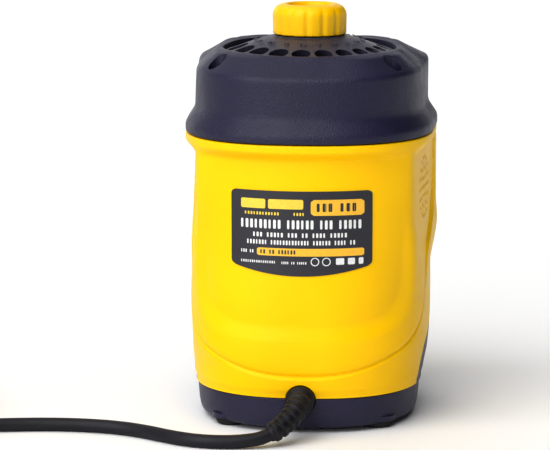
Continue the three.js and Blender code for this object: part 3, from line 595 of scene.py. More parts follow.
def strain_relief():
    """The boot that eases the lead out of the casing: a collar, then ribs that thin towards the tip."""
    line = along_line(spline(LEAD_ROUTE, 0.35), BOOT_LENGTH)
    gone = [0.0]
    for a, b in zip(line, line[1:]):
        gone.append(gone[-1] + (b - a).length)

    def radius(i):
        t = gone[i] / BOOT_LENGTH
        phase = (gone[i] / BOOT_PITCH) % 1
        rib = smooth(0.0, 0.22, phase) * (1 - smooth(0.62, 0.84, phase)) * (1 - smooth(0.93, 0.97, t))
        tip = 1 - 0.12 * smooth(BOOT_LENGTH - BOOT_TIP, BOOT_LENGTH, gone[i])
        return (mix(*BOOT_CORE, t) + mix(*BOOT_RIBS, t) * rib) * tip

    boot = tube(line, radius, 40)
    # The collar is turned about the lead's exit, which points along +Y.
    collar = lathe([
        (3.8, -9.5, 0, 1), (6.4, -9.5, 0.3, 2), (7.5, -9.0, 0.4, 3), (7.5, 1.0, 0.9, 2), (6.1, 2.3, 0.5, 2),
        (4.6, 2.3, 0, 2),
    ], 56)
    facing = Matrix.Translation(CORD_EXIT) @ Matrix.Rotation(-TAU / 4, 4, "X")
    inner = rod(CORD_R + 0.8, (0, 48, CORD_EXIT[2]), (0, 55, CORD_EXIT[2]), 32)
    mesh = mesh_of(merged(boot, moved(collar, facing), inner))
    return piece("lead_strain_relief", mesh, RUBBER, "housing", "black_rubber", "cord_boot")


def lead_tie():
    """A strap closed over the coil, with its buckle."""
    inside, outside, top = COIL_RADII[0] - CORD_R - 1.2, COIL_RADII[1] + CORD_R + 1.2, 21.6
    thickness, low, half_wide = 1.1, 0.4, 5
    strap = []
    for level in (0.0, thickness):
        side = [(level - 0.6, low), (level - 0.6, top - 0.2 - level), (0.8, top + 0.9 - level)]
        strap.append([(inside + x, z) for x, z in side] + [(outside - x, z) for x, z in side[::-1]])
    band = prism(strap[0] + strap[1][::-1], -half_wide, half_wide, "x")
    buckle = lathe([(0.6, 0, 0, 1), (3.4, 0, 0.3, 1), (3.4, 1.3, 0.5, 1), (0.6, 1.3, 0, 1)], 28)
    buckle = moved(buckle, Matrix.Translation((0, (inside + outside) / 2, top + 0.6)))
    turn = Matrix.Translation((*COIL_CENTRE, 0)) @ Matrix.Rotation(math.radians(TIE_DEG), 4, "Z")
    mesh = mesh_of(moved(merged(band, buckle), turn))
    return piece("lead_tie_strap", mesh, LABEL, "housing", "label_film", "cord_tie")


def plug():
    """A moulded two-pin plug, drawn with its pins along +X, as (x, half width, half height) sections."""
    rows = []
    stations = [
        (18, 5.4, 5.4), (21, 5.7, 5.6), (24, 6.6, 6.2), (29, 9.6, 6.8), (36, 14.2, 6.9), (42, 17.2, 6.9),
        (48, 17.8, 6.9), (54.6, 17.7, 6.8), (55.6, 17.2, 6.3), (56, 16.2, 5.4),
    ]
    for x, wide, high in stations:
        squareness = mix(2.0, 4.0, smooth(22, 40, x))
        row = []
        for c, s in circle(1, 48):
            r = (abs(c / wide) ** squareness + abs(s / high) ** squareness) ** (-1 / squareness)
            row.append((x, r * c, r * s))
        rows.append(row)
    moulding = skin(rows, False)
    relief_length, step, pitch, groove = 20, 0.5, 3.6, 0.9

    def relief_radius(i):
        phase = (i * step / pitch) % 1
        body = mix(4.3, 5.4, i * step / relief_length)
        return body - groove * smooth(0.55, 0.7, phase) * (1 - smooth(0.86, 1, phase))

    relief_line = [Vector((i * step, 0, 0)) for i in range(round(relief_length / step) + 1)]
    relief = tube(relief_line, relief_radius, 32)
    facing = Vector((plug_heading.x, plug_heading.y, 0)).to_track_quat("X", "Z").to_matrix().to_4x4()
    lay = Matrix.Translation(plug_root) @ facing
    mesh = mesh_of(moved(merged(moulding, relief), lay))
    made = [piece("lead_plug", mesh, RUBBER, "housing", "black_rubber", "plug_body")]
    pin = lathe([(0.4, 0, 0, 1), (2.0, 0, 0, 3), (2.0, 18.6, 1.4, 1), (0.4, 19.0, 0, 1)], 28, False)
    pin_root = stations[-1][0] + 0.2
    for number, y in enumerate((-9.3, 9.3), 1):
        place = lay @ Matrix.Translation((pin_root, y, 0)) @ Matrix.Rotation(TAU / 4, 4, "Y")
        mesh = mesh_of(moved(pin, place))
        made.append(piece(f"lead_plug_pin_{number}", mesh, BRASS, "housing", "brass", f"plug_pin_{number}"))
    return made


lead_pieces = [strain_relief(), lead_tie(), *plug()]


# -------- casing outline
PLAN_STEPS = 380
WALL = 3.4
BODY_LOW, BODY_HIGH = 18.9, 150.6
PANEL_ARC_R = 78
SIDE_SLANT = 0.1
SIDE_HALF = curve_through([
    (19, 59.6), (33, 60.6), (48, 61.5), (62, 62.0), (82, 61.9), (96, 61.2), (110, 60.3), (140, 60.2),
])
RAISED_HALF = curve_through([(19, 59.0), (50, 60.2), (77, 60.8), (100, 62.6), (116, 63.4)])
REAR_DEPTH = curve_through([(19, 61.0), (30, 61.9), (44, 63.2), (60, 63.0), (90, 62.0), (140, 61.6)])
FRONT_DEPTH = curve_through([(19, 61.5), (50, 62.4), (113, 65.2)])
REAR_SQUARENESS, BOX_SQUARENESS = 2.35, 5.6
FRONT_SQUARENESS = curve_through([(19, 2.6), (50, 5), (113, BOX_SQUARENESS)])
FRONT_SPREAD = curve_through([(19, 0.4), (34, 3.0), (60, 2.6), (90, 1.7), (146, 1.8)])
LIP_HALF, LIP_DEPTH = 64.5, 66.2
LIP_BLEND = (141.4, 147.3)
# Where the raised front and foot begin, as (degrees round from the rear, height).
CREASE = [
    (-25, 32.6), (0, 30), (25, 32.6), (46, 39.8), (60, 46.0), (70, 52.6), (78, 62), (85, 74), (93, 88),
    (105, 97), (115, 107), (119.5, 122), (121, 151),
]
CREASE_STEP, CREASE_GROOVE, CREASE_SWELL = 1.0, 1.0, 0.22
# How deep the scoop is behind and at the sides.
SCOOP_DEPTHS = (1.1, 2.1)
# Distances round the casing are measured on a circle of this radius.
GIRTH_R = 62
# The scoop's outline: how far round it reaches, and how far down from the height where its sides are upright.
SCOOP_HALF, SCOOP_MIDDLE, SCOOP_DROP = 58, 100, 44.5


def plan_radius(angle, half, rear, front, front_squareness, rear_squareness=REAR_SQUARENESS):
    """A superellipse, round behind and squarer in front."""
    c, s = abs(math.cos(angle)), abs(math.sin(angle))
    behind = math.sin(angle) >= 0
    n = rear_squareness if behind else front_squareness
    depth = rear if behind else front
    return ((c / half) ** n + (s / depth) ** n) ** (-1 / n)


def panel_plan(angle, half, depth):
    """The upper casing from above: a wide arc behind, and nearly flat sides that spread towards the front."""
    c, s = abs(math.cos(angle)), math.sin(angle)
    centre = depth - PANEL_ARC_R
    arc = centre * s + math.sqrt(PANEL_ARC_R**2 - (centre * c) ** 2)
    side = half / max(0.05, c + SIDE_SLANT * s)
    softness = 60
    return (arc**-softness + side**-softness) ** (-1 / softness)


def towards_front(angle):
    """From 0 behind to 1 at the front corners."""
    return smooth(-0.56, 0.73, -math.sin(angle))


def girth(angle):
    """How far round the casing from the middle of its rear."""
    return GIRTH_R * abs(math.atan2(math.cos(angle), math.sin(angle)))


def crease_tree():
    """Points along the crease, in millimetres round and up the casing, for distances to it."""
    line = spline([(math.radians(a) * GIRTH_R, z, 0) for a, z in CREASE], 0.5)
    line = [p for p in line if p.x >= 0]
    tree = kdtree.KDTree(len(line))
    for i, point in enumerate(line):
        tree.insert(point, i)
    tree.balance()
    return tree, line


CREASE_TREE, CREASE_LINE = crease_tree()


def past_crease(angle, z):
    """Distance past the crease, towards the raised front and foot; negative on the rear panel."""
    here = Vector((girth(angle), z, 0))
    _, i, gap = CREASE_TREE.find(here)
    ahead = CREASE_LINE[min(i + 2, len(CREASE_LINE) - 1)] - CREASE_LINE[max(i - 2, 0)]
    across = here - CREASE_LINE[i]
    return math.copysign(gap, -(ahead.x * across.y - ahead.y * across.x))


def scoop_depth(angle, z):
    """How far the rear panel is sunk: a soft valley that runs in a U round it and fades out near the top."""
    across = girth(angle)
    gauge = ((across / SCOOP_HALF) ** 4 + (max(0, SCOOP_MIDDLE - z) / SCOOP_DROP) ** 4) ** 0.25
    inside = (1 - gauge) * 46
    outer = smooth(-8, 1.5, inside)
    inner = (1 - clamp((inside - 1.5) / 30)) ** 2
    return mix(*SCOOP_DEPTHS, smooth(12, 42, across)) * outer * inner * (1 - smooth(96, 124, z))


def body_radius(angle, z):
    rear, front, square = REAR_DEPTH(z), FRONT_DEPTH(z), FRONT_SQUARENESS(z)
    belly = 0.15 * smooth(25, 45, z) * (1 - smooth(70, 96, z))
    inner = plan_radius(angle, SIDE_HALF(z), rear, front, square, REAR_SQUARENESS + belly)
    if math.sin(angle) > -0.62:
        inner = mix(inner, panel_plan(angle, SIDE_HALF(z), rear), smooth(60, 100, z))
    inner -= scoop_depth(angle, z)
    spread = FRONT_SPREAD(z) * towards_front(angle)
    raised = plan_radius(angle, RAISED_HALF(z) + spread, rear, front, square)
    raised += CREASE_STEP * smooth(19, 24, z)
    past = past_crease(angle, z)
    groove = math.exp(-((past + 0.2) / 0.85) ** 2) * (1 - smooth(139, 144, z)) * smooth(20, 24, z)
    swell = math.exp(-((past + 4.2) / 2.4) ** 2) * (1 - smooth(60, 90, z))
    casing = mix(inner, max(inner, raised), smooth(-0.4, 1.5, past))
    casing += CREASE_SWELL * swell - CREASE_GROOVE * groove
    lip = plan_radius(angle, LIP_HALF + spread, LIP_DEPTH, LIP_DEPTH, BOX_SQUARENESS)
    casing = mix(casing, lip, smooth(*LIP_BLEND, z))
    over = z - (BODY_HIGH - 1)
    return casing - (1 - math.sqrt(max(0, 1 - over * over)) if over > 0 else 0)


def levels(*stretches):
    """Heights from stretches of (low, high, spacing), ending with the last high."""
    heights = []
    for low, high, spacing in stretches:
        count = max(1, round((high - low) / spacing))
        heights += [mix(low, high, k / count) for k in range(count)]
    return [*heights, stretches[-1][1]]


BODY_LEVELS = levels(
    (BODY_LOW, 24, 0.9), (24, 60, 0.6), (60, 100, 0.9), (100, 140, 1.6), (140, 149.6, 0.5),
    (149.6, BODY_HIGH, 0.2),
)
INNER_LEVELS = [BODY_HIGH, 146, 140, 128, 110, 90, 70, 50, 35, BODY_LOW]


def body_profile(angle):
    outer = [(body_radius(angle, z), z) for z in BODY_LEVELS]
    inner = [(body_radius(angle, min(z, 140)) - WALL, z) for z in INNER_LEVELS]
    return outer + inner


PANEL_LOW = 14.6


def panel_zone(grow):
    """The front panel's outline from the side, drawn across the machine. grow moves its edge out."""
    edge = [Vector(p) for p in (
        (19 + grow, PANEL_LOW), (17 + grow, 33 + grow), (grow, 38 + grow), (-40 + grow, 42 + grow),
        (-57 + grow, 76),
    )]
    steps = 14
    outline = [(-90, PANEL_LOW), tuple(edge[0])]
    for a, b, c in (edge[:3], edge[2:]):
        outline += [tuple(bezier(a, b, c, k / steps)) for k in range(1, steps + 1)]
    return prism([*outline, (-90, 92 + grow)], -80, 80, "x")


VENT_AT = (-2, 120.7)
VENT_R = 1.25
VENT_PITCH = 5.3
VENT_RINGS = 3


def vents():
    """Round air holes through both sides, in rings round a middle one."""
    holes = []
    for ring in range(VENT_RINGS + 1):
        for a, b in circle(VENT_PITCH * ring, max(1, 6 * ring)):
            y, z = VENT_AT[0] + a, VENT_AT[1] + b
            holes.append(rod(VENT_R, (-80, y, z), (80, y, z), 14))
    return holes


def collar_hole():
    return rod(COLLAR_HOLE_R, (0, 50, CORD_EXIT[2]), (0, 80, CORD_EXIT[2]), 48)


SWITCH_Z = 53


def make_casing():
    shell = mesh_of(revolve(body_profile, PLAN_STEPS))
    body = carve(shell.copy(), panel_zone(GAP))
    body = carve(body, merged(collar_hole(), *vents()))
    piece("casing_body", body, YELLOW, "housing", "yellow_plastic", "body_shell")
    panel = carve(shell, panel_zone(0), "INTERSECT")
    cutout = rounded_outline(6.6, 9.8, 1, (0, SWITCH_Z))
    panel = carve(panel, prism(cutout, -90, -50, "y"))
    piece("casing_front_panel", panel, CHARCOAL, "housing", "charcoal_plastic", "front_panel")


# -------- base and feet
BASE_TOP, BASE_LOW, FLOOR_T = 18.6, 2.0, 2.6
BASE_WALL = 3.0
FOOT_AT = corners_of(38, 37)
FOOT_R, FOOT_H, PAD_R = 8.0, 4.6, 10
BASE_SCREWS = [(36, 0), (0, 36), (-36, 0), (0, -36)]
BASE_SCREW_R, BASE_SCREW_SEAT = 4.6, 7.3
SLOT_PITCH, SLOT_HALF = 6.5, 1.6


def make_base():
    def profile(angle):
        full = plan_radius(angle, 58.8, 61.0, 61.2, 2.6)
        corners = [
            (full - 5.6, BASE_LOW, 1.4, 1), (full - 2.0, BASE_LOW + 1.6, 1.4, 2),
            (full - 0.9, BASE_LOW + 5.6, 2, 4), (full, BASE_TOP, 0.4, 2),
            (full - BASE_WALL, BASE_TOP, 0.3, 4),
            (full - BASE_WALL - 1.4, BASE_LOW + FLOOR_T, 1.4, 2), (18, BASE_LOW + FLOOR_T, 0, 1),
        ]
        return rounded(corners, False, 4)

    tray = mesh_of(revolve(profile, 220, False))
    holes = [rod(FOOT_R + GAP, (x, y, 0), (x, y, FOOT_H + GAP), 40) for x, y in FOOT_AT]
    holes += [rod(BASE_SCREW_R, (x, y, 0), (x, y, BASE_SCREW_SEAT), 28) for x, y in BASE_SCREWS]
    for k in range(-2, 3):
        outline = rounded_outline(SLOT_HALF, 20, 1.5, (SLOT_PITCH * k, 0))
        holes.append(prism(outline, 0, 8, "z"))
    pads = [rod(PAD_R, (x, y, BASE_LOW + 1.9), (x, y, FOOT_H + 2), 40) for x, y in FOOT_AT]
    tray = carve(tray, merged(*pads), "UNION")
    tray = carve(tray, merged(*holes))
    tray = carve(tray, collar_hole())
    piece("base_tray", tray, CHARCOAL, "housing", "charcoal_plastic", "base_shell")
    foot = lathe([
        (0.5, 0, 0, 2), (4.2, 0, 0.3, 1), (4.9, 0.7, 0.2, 1), (5.6, 0, 0.2, 1), (6.9, 0, 0.5, 1),
        (FOOT_R, 1.5, 0.8, 2), (FOOT_R, FOOT_H, 0.3, 2), (0.5, FOOT_H, 0, 1),
    ], 56, False)
    for number, (x, y) in enumerate(FOOT_AT, 1):
        mesh = mesh_of(moved(foot, Matrix.Translation((x, y, 0))))
        piece(f"base_foot_{number}", mesh, FOOT_RUBBER, "housing", "black_rubber", f"rubber_foot_{number}")


# -------- head
CAP_LOW = 151.1
WALL_LOW, WALL_HIGH = 163.0, 183.3
RIM_Z, RIM_R = 194.0, 45.4
RIM_RISE, RIM_HUMP_FRONT, RIM_HUMP_REAR = 2.0, 2.3, 0.7
CORNER_BULGE, SHOULDER_BULGE, CAP_SPREAD = 2.8, 1.2, 2.5
LEDGE_Z, LEDGE_R, LEDGE_UNDER = 186.5, 41.0, 183.5
CAP_SCREW_AT = corners_of(45, 33.6)
CAP_SCREW_SEAT = 172
WELL_R, BOSS_R, SHAFT_R = 4.9, 7.0, 2.4
# Half widths of the cap's wall at its top and bottom, and of its skirt.
WALL_HALF, FLARE_HALF, SKIRT_HALF = 58.5, 59.3, 64.3
CAP_DEEPER = 1.7


def at_corner(angle):
    return smooth(0.35, 1, abs(math.sin(2 * angle)))


def rim_lift(angle):
    """The rim rises a little towards the front, and more at the corners, where the screw wells are."""
    hump = RIM_HUMP_REAR if math.sin(angle) > 0 else RIM_HUMP_FRONT
    return RIM_RISE * (1 - math.sin(angle)) / 2 + hump * at_corner(angle)


def cap_radius(angle, half):
    depth = half + CAP_DEEPER
    return plan_radius(angle, half + CAP_SPREAD * towards_front(angle), depth, depth, BOX_SQUARENESS)


def cap_profile(angle):
    lift = rim_lift(angle)
    rim = RIM_Z + 0.35 * lift
    wall = cap_radius(angle, WALL_HALF) + SHOULDER_BULGE * at_corner(angle)
    skirt = cap_radius(angle, SKIRT_HALF)
    return rounded([
        (skirt, CAP_LOW, 0.8, 3), (skirt, 155.2, 1.6, 5), (cap_radius(angle, FLARE_HALF), WALL_LOW, 2.6, 9),
        (wall, WALL_HIGH + 0.8 * lift, 2.0, 9),
        (RIM_R + 4.4 + CORNER_BULGE * at_corner(angle), RIM_Z - 2.0 + lift, 1.2, 2),
        (RIM_R + 2.4, rim, 0.9, 2), (RIM_R, rim, 0.5, 3),
        (RIM_R, LEDGE_Z, 0.3, 1), (LEDGE_R, LEDGE_Z, 0, 1), (LEDGE_R, LEDGE_UNDER, 0, 2),
        (wall - 6, LEDGE_UNDER, 2, 4), (cap_radius(angle, FLARE_HALF - 3.1), WALL_LOW, 1, 2),
        (skirt - 3, 153.7, 0.6, 1), (skirt - 3, CAP_LOW, 0, 1),
    ], True, 6)


def make_cap():
    def upright(radius, low, high, sides):
        return merged(*[rod(radius, (x, y, low), (x, y, high), sides) for x, y in CAP_SCREW_AT])

    def bounds(angle):
        wall = cap_radius(angle, WALL_HALF) - 1.5
        return [(wall, 150), (wall, 183), (44, 190)]

    # The bosses of the screws reach the cap's inner face and no further.
    bosses = upright(BOSS_R, CAP_SCREW_SEAT - 12, 186, 36)
    bosses = carve(mesh_of(revolve(bounds, 120, False)), bosses, "INTERSECT")
    cap = combined(mesh_of(revolve(cap_profile, 300)), bosses, "UNION")
    cap = carve(cap, upright(WELL_R, CAP_SCREW_SEAT, 210, 40))
    cap = carve(cap, upright(SHAFT_R, 140, CAP_SCREW_SEAT + 1, 16))
    piece("head_cap", cap, CHARCOAL, "housing", "charcoal_plastic", "top_cap")


DOME_TOP, DOME_TOP_R = 200.9, 22
DOME_EDGE_Z, DOME_EDGE_R = 192.6, 43.6
DOME_UNDER = 180.3
DOME_SLOPE = math.atan2(DOME_TOP - DOME_EDGE_Z, DOME_EDGE_R - DOME_TOP_R)
GUIDE_RING_R, GUIDE_RING_Z = 38, 194.7
GUIDE_TILT = math.radians(31)
GUIDE_MIN, GUIDE_MAX, GUIDE_STEP = 3, 12, 0.5
GUIDE_WEB, GUIDE_CLEARANCE = 2.4, 0.15
GUIDE_ANCHOR_D, GUIDE_ANCHOR_DEG = 9.5, -2.6
# The bracket's notch, from behind the middle out through the rim.
BRACKET_DEG = 300
NOTCH_HALF, NOTCH_BACK, NOTCH_OUT = 11.5, -12, 60
NUMBER_R, NUMBER_SIZE = 28.6, 3.1
STUD_HOLE_R, HUB_R = 4.4, 17


def guide_bearings():
    """Each drill size and its bearing in radians round from the rear, towards -X."""
    bearings = {GUIDE_ANCHOR_D: math.radians(GUIDE_ANCHOR_DEG)}
    for step, end in ((GUIDE_STEP, GUIDE_MAX), (-GUIDE_STEP, GUIDE_MIN)):
        size = GUIDE_ANCHOR_D
        while size != end:
            pitch = (size + step / 2 + GUIDE_WEB) / GUIDE_RING_R
            bearings[size + step] = bearings[size] - math.copysign(pitch, step)
            size += step
    return bearings


def outwards(bearing):
    return Vector((-math.sin(bearing), math.cos(bearing), 0))


def size_numbers(bearings):
    """The drill sizes, raised on the cone above their bores."""
    numbers = []
    for size, bearing in bearings.items():
        text = bpy.data.curves.new("number", "FONT")
        text.body = f"{size:g}"
        text.size = NUMBER_SIZE * (1 if size >= 5 else 0.85)
        text.align_x = "CENTER"
        text.align_y = "CENTER"
        text.extrude = 0.22
        text.resolution_u = 3
        mesh = evaluated(new_object("number", text))
        out = outwards(bearing)
        across = Vector((-math.cos(bearing), -math.sin(bearing), 0))
        uphill = (-out * math.cos(DOME_SLOPE) + Vector((0, 0, math.sin(DOME_SLOPE)))).normalized()
        turn = Matrix((across, uphill, across.cross(uphill))).transposed().to_4x4()
        height = DOME_TOP - (NUMBER_R - DOME_TOP_R) * math.tan(DOME_SLOPE)
        place = Matrix.Translation(out * NUMBER_R + Vector((0, 0, height + 0.1))) @ turn
        faces = [tuple(f.vertices) for f in mesh.polygons]
        numbers.append(([tuple(place @ v.co) for v in mesh.vertices], faces))
        bpy.data.meshes.remove(mesh)
    return merged(*numbers)


def make_dome():
    bearings = guide_bearings()
    rim, ledge = RIM_R - 0.4, LEDGE_R - 0.4
    corners = [
        (STUD_HOLE_R, DOME_TOP, 0, 3), (DOME_TOP_R - 3.4, DOME_TOP, 0.6, 1),
        (DOME_TOP_R - 2.2, DOME_TOP - 0.9, 0.5, 1), (DOME_TOP_R, DOME_TOP - 1.1, 1, 16),
        (DOME_EDGE_R, DOME_EDGE_Z, 0.8, 1), (rim, DOME_EDGE_Z - 0.6, 0.3, 1), (rim, LEDGE_Z + GAP, 0, 1),
        (ledge, LEDGE_Z + GAP, 0, 1), (ledge, DOME_UNDER, 0, 6), (HUB_R, DOME_UNDER, 0, 1),
        (HUB_R, LEDGE_UNDER, 0, 1), (STUD_HOLE_R, LEDGE_UNDER, 0, 1),
    ]
    dome = mesh_of(lathe(corners, 240))
    bores = []
    for size, bearing in bearings.items():
        out = outwards(bearing)
        ends = []
        for t in (-19, 14):
            r = GUIDE_RING_R + t * math.sin(GUIDE_TILT)
            ends.append(out * r + Vector((0, 0, GUIDE_RING_Z + t * math.cos(GUIDE_TILT))))
        bores.append(rod(size / 2 + GUIDE_CLEARANCE, *ends, 36))
    notch = [
        (NOTCH_BACK, -NOTCH_HALF), (NOTCH_OUT, -NOTCH_HALF), (NOTCH_OUT, NOTCH_HALF), (NOTCH_BACK, NOTCH_HALF),
    ]
    notch = prism(notch, 170, LEDGE_UNDER, "z")
    dome = carve(dome, moved(notch, Matrix.Rotation(math.radians(BRACKET_DEG), 4, "Z")))
    for bore in bores:
        dome = carve(dome, bore)
    piece("head_guide_dome", dome, DOME_CHARCOAL_PAINTED_LIGHT, "housing", "charcoal_plastic", "guide_dome")
    numbers = mesh_of(size_numbers(bearings), 20)
    piece("head_size_numbers", numbers, NUMBER_PAINTED_HIGHLIGHT, "housing", "charcoal_plastic")


# -------- clamp knob and washer
KNOB_LOW, KNOB_HIGH = 201.3, 217.0
KNOB_SEAT, KNOB_SEAT_R = 202.5, 12.6
KNOB_R = 19.4
KNOB_LOBES, FLUTE_DEPTH = 14, 0.75
HOLLOW_Z, INSERT_TOP, INSERT_R = 211.6, 209.8, 6.3
WASHER_R, WASHER_LOW, WASHER_HIGH = 12, 201.2, 202.2


def make_knob():
    def rim(angle):
        lobe = 0.5 + 0.5 * math.cos(KNOB_LOBES * angle)
        return KNOB_R - FLUTE_DEPTH * (1 - lobe) ** 3

    def profile(angle):
        r = rim(angle)
        calm = mix(r, KNOB_R - 0.3, 0.8)
        corners = [
            (INSERT_R, KNOB_SEAT, 0, 4), (KNOB_SEAT_R, KNOB_SEAT, 0.2, 1), (KNOB_SEAT_R, KNOB_LOW, 0.3, 2),
            (r - 0.2, KNOB_LOW, 0.9, 6), (r, KNOB_HIGH - 4.4, 1.5, 1), (calm - 1.5, KNOB_HIGH - 1.4, 1.2, 1),
            (calm - 4.6, KNOB_HIGH, 1.5, 3), (11.8, KNOB_HIGH, 1.0, 3),
            (10.4, HOLLOW_Z + 1, 1.0, 1), (9.2, HOLLOW_Z, 0.6, 4), (2.5, HOLLOW_Z, 0, 1),
            (2.5, INSERT_TOP, 0, 1), (INSERT_R, INSERT_TOP, 0.4, 3),
        ]
        return rounded(corners, True, 6)

    knob = mesh_of(revolve(profile, 336))
    lid = mesh_of(rod(3.0, (0, 0, INSERT_TOP + 0.1), (0, 0, HOLLOW_Z - 0.1), 48))
    knob = combined(knob, lid, "UNION")
    piece("knob_grip", knob, KNOB_YELLOW, "knob", "yellow_plastic", "clamp_knob")
    washer = lathe([
        (4.3, WASHER_LOW, 0.15, 2), (WASHER_R, WASHER_LOW, 0.3, 1), (WASHER_R, WASHER_HIGH, 0.3, 2),
        (4.3, WASHER_HIGH, 0.15, 1),
    ], 96)
    piece("knob_washer", mesh_of(washer), ZINC, "clamp_washer", "zinc_steel", "thrust_washer")


# -------- label
LABEL_HALF = 36.2
LABEL_TOP, LABEL_CORNER_Z, LABEL_BOTTOM_Z = 126.8, 88.4, 83.0
LABEL_CORNER_R = 2.2
LABEL_LIFT, LABEL_FACE, INK_T = 0.06, 0.46, 0.1


def on_body(x, z, lift):
    """The point of the casing's rear at x and z, lifted off it."""
    angle = math.atan2(58, x)
    for _ in range(4):
        r = body_radius(angle, z) + lift
        angle = math.atan2(math.sqrt(r * r - x * x), x)
    return (x, r * math.sin(angle), z)


def film(outline_at, rows, columns, low_lift, high_lift):
    """A thin film over the casing. outline_at(v) gives its low and high x and its z function at height v."""
    layers = []
    for lift in (low_lift, high_lift):
        grid = []
        for j in range(rows + 1):
            x0, x1, z_at = outline_at(j / rows)
            grid.append([])
            for i in range(columns + 1):
                x = mix(x0, x1, i / columns)
                grid[-1].append(on_body(x, z_at(x), lift))
        layers.append(grid)
    width = columns + 1
    size = (rows + 1) * width
    points = [p for grid in layers for row in grid for p in row]
    faces = []
    for j in range(rows):
        for i in range(columns):
            a = j * width + i
            faces.append((a, a + 1, a + width + 1, a + width))
            faces.append((size + a, size + a + width, size + a + width + 1, size + a + 1))
    border = [*range(width), *[j * width + columns for j in range(1, rows + 1)]]
    border += [rows * width + i for i in range(columns - 1, -1, -1)]
    border += [j * width for j in range(rows - 1, 0, -1)]
    for a, b in zip(border, border[1:] + border[:1]):
        faces.append((a, b, size + b, size + a))
    return points, faces


def corner_inset(near, corner):
    """How far a rounded corner is cut back, near being the distance from its end."""
    return corner - math.sqrt(max(0, corner**2 - (corner - near) ** 2)) if near < corner else 0


def bar(x0, x1, z0, z1, corner):
    """A printed bar with round ends or corners."""
    def outline_at(v):
        z = mix(z0, z1, v)
        inset = corner_inset(min(z - z0, z1 - z), corner)
        return x0 + inset, x1 - inset, lambda x: z

    columns = max(2, round((x1 - x0) / 2.5))
    return film(outline_at, 8, columns, LABEL_FACE - INK_T / 2, LABEL_FACE + INK_T / 2)


def row_of_blocks(x0, x1, groups, z0, z1):
    """Groups of small plain blocks where a line of wording would be, from x0 on the left to x1."""
    pitch = (x0 - x1) / (sum(groups) + len(groups) - 1)
    blocks = []
    x = x0
    for count in groups:
        for k in range(count):
            width = pitch * (0.62 if k % 3 else 0.5)
            blocks.append(bar(x - width, x, z0, z1, min(0.2, width / 3)))
            x -= pitch
        x -= pitch
    return blocks


def ring_mark(x, z, outer, inner):
    """A printed ring."""
    rings = []
    for radius, side in ((inner, -0.5), (outer, -0.5), (outer, 0.5), (inner, 0.5)):
        rings.append([on_body(x + a, z + b, LABEL_FACE + INK_T * side) for a, b in circle(radius, 28)])
    return skin(rings, True)


# What is printed, ink by ink: plain bars as (x0, x1, z0, z1, corner), then rows of blocks as
# (x0, x1, groups, z0, z1).
LABEL_PRINT = {
    "yellow": (
        [(18.2, 31.0, 117.6, 122.6, 0.5), (-1.4, 16.8, 117.6, 122.6, 0.5)],
        [(29.0, 10.6, (12,), 114.3, 115.9), (3.6, -2.4, (4,), 114.3, 115.9)],
    ),
    "orange": ([(-32.2, -5.2, 114.4, 122.6, 1.6), (-32.2, 22.6, 93.4, 97.4, 1.0)], []),
    "dark": ([], [(-8.2, -29.2, (3, 3), 116.4, 120.7), (20.8, 2.0, (2, 2, 6), 94.3, 96.5)]),
    "white": (
        [(-22.2, -18.0, 89.0, 92.4, 0.4), (-27.6, -24.0, 89.0, 92.4, 0.4), (-31.8, -29.4, 89.0, 92.4, 0.4)],
        [
            (31.0, -31.6, (9, 6, 3, 5), 107.4, 112.0), (24.6, -24.2, (3, 5, 3, 2, 4, 5), 103.0, 105.4),
            (27.8, -28.2, (7, 13, 6, 4, 2), 99.1, 101.5), (31.0, 24.0, (3, 2), 94.4, 96.2),
            (31.0, 12.6, (16,), 89.4, 90.8), (9.8, -3.4, (4, 2, 5), 89.2, 90.6),
        ],
    ),
}
LABEL_INKS = {"yellow": INK_YELLOW, "orange": INK_ORANGE, "dark": LABEL, "white": INK_WHITE}
LABEL_RINGS = {"white": [(-7.4, 90.6, 2.2, 1.7), (-13.2, 90.6, 2.2, 1.7)]}


def make_label():
    def outline_at(v):
        side = mix(LABEL_CORNER_Z, LABEL_TOP, v)
        half = LABEL_HALF - corner_inset(min(LABEL_TOP - side, side - LABEL_CORNER_Z), LABEL_CORNER_R)

        def height(x):
            bow = (LABEL_CORNER_Z - LABEL_BOTTOM_Z) * (1 - (x / LABEL_HALF) ** 2)
            return side - bow * (1 - v) ** 2
        return -half, half, height

    plate = mesh_of(film(outline_at, 60, 56, LABEL_LIFT, LABEL_FACE), 50)
    piece("label_plate", plate, LABEL, "housing", "label_film", "rating_label")
    for name, (bars, rows) in LABEL_PRINT.items():
        parts = [bar(*sizes) for sizes in bars]
        for row in rows:
            parts += row_of_blocks(*row)
        parts += [ring_mark(*ring) for ring in LABEL_RINGS.get(name, [])]
        piece(f"label_print_{name}", mesh_of(merged(*parts)), LABEL_INKS[name], "housing", "label_film")


# -------- switch
SWITCH_FACE = -64.1
ROCKER_TILT_DEG = 9


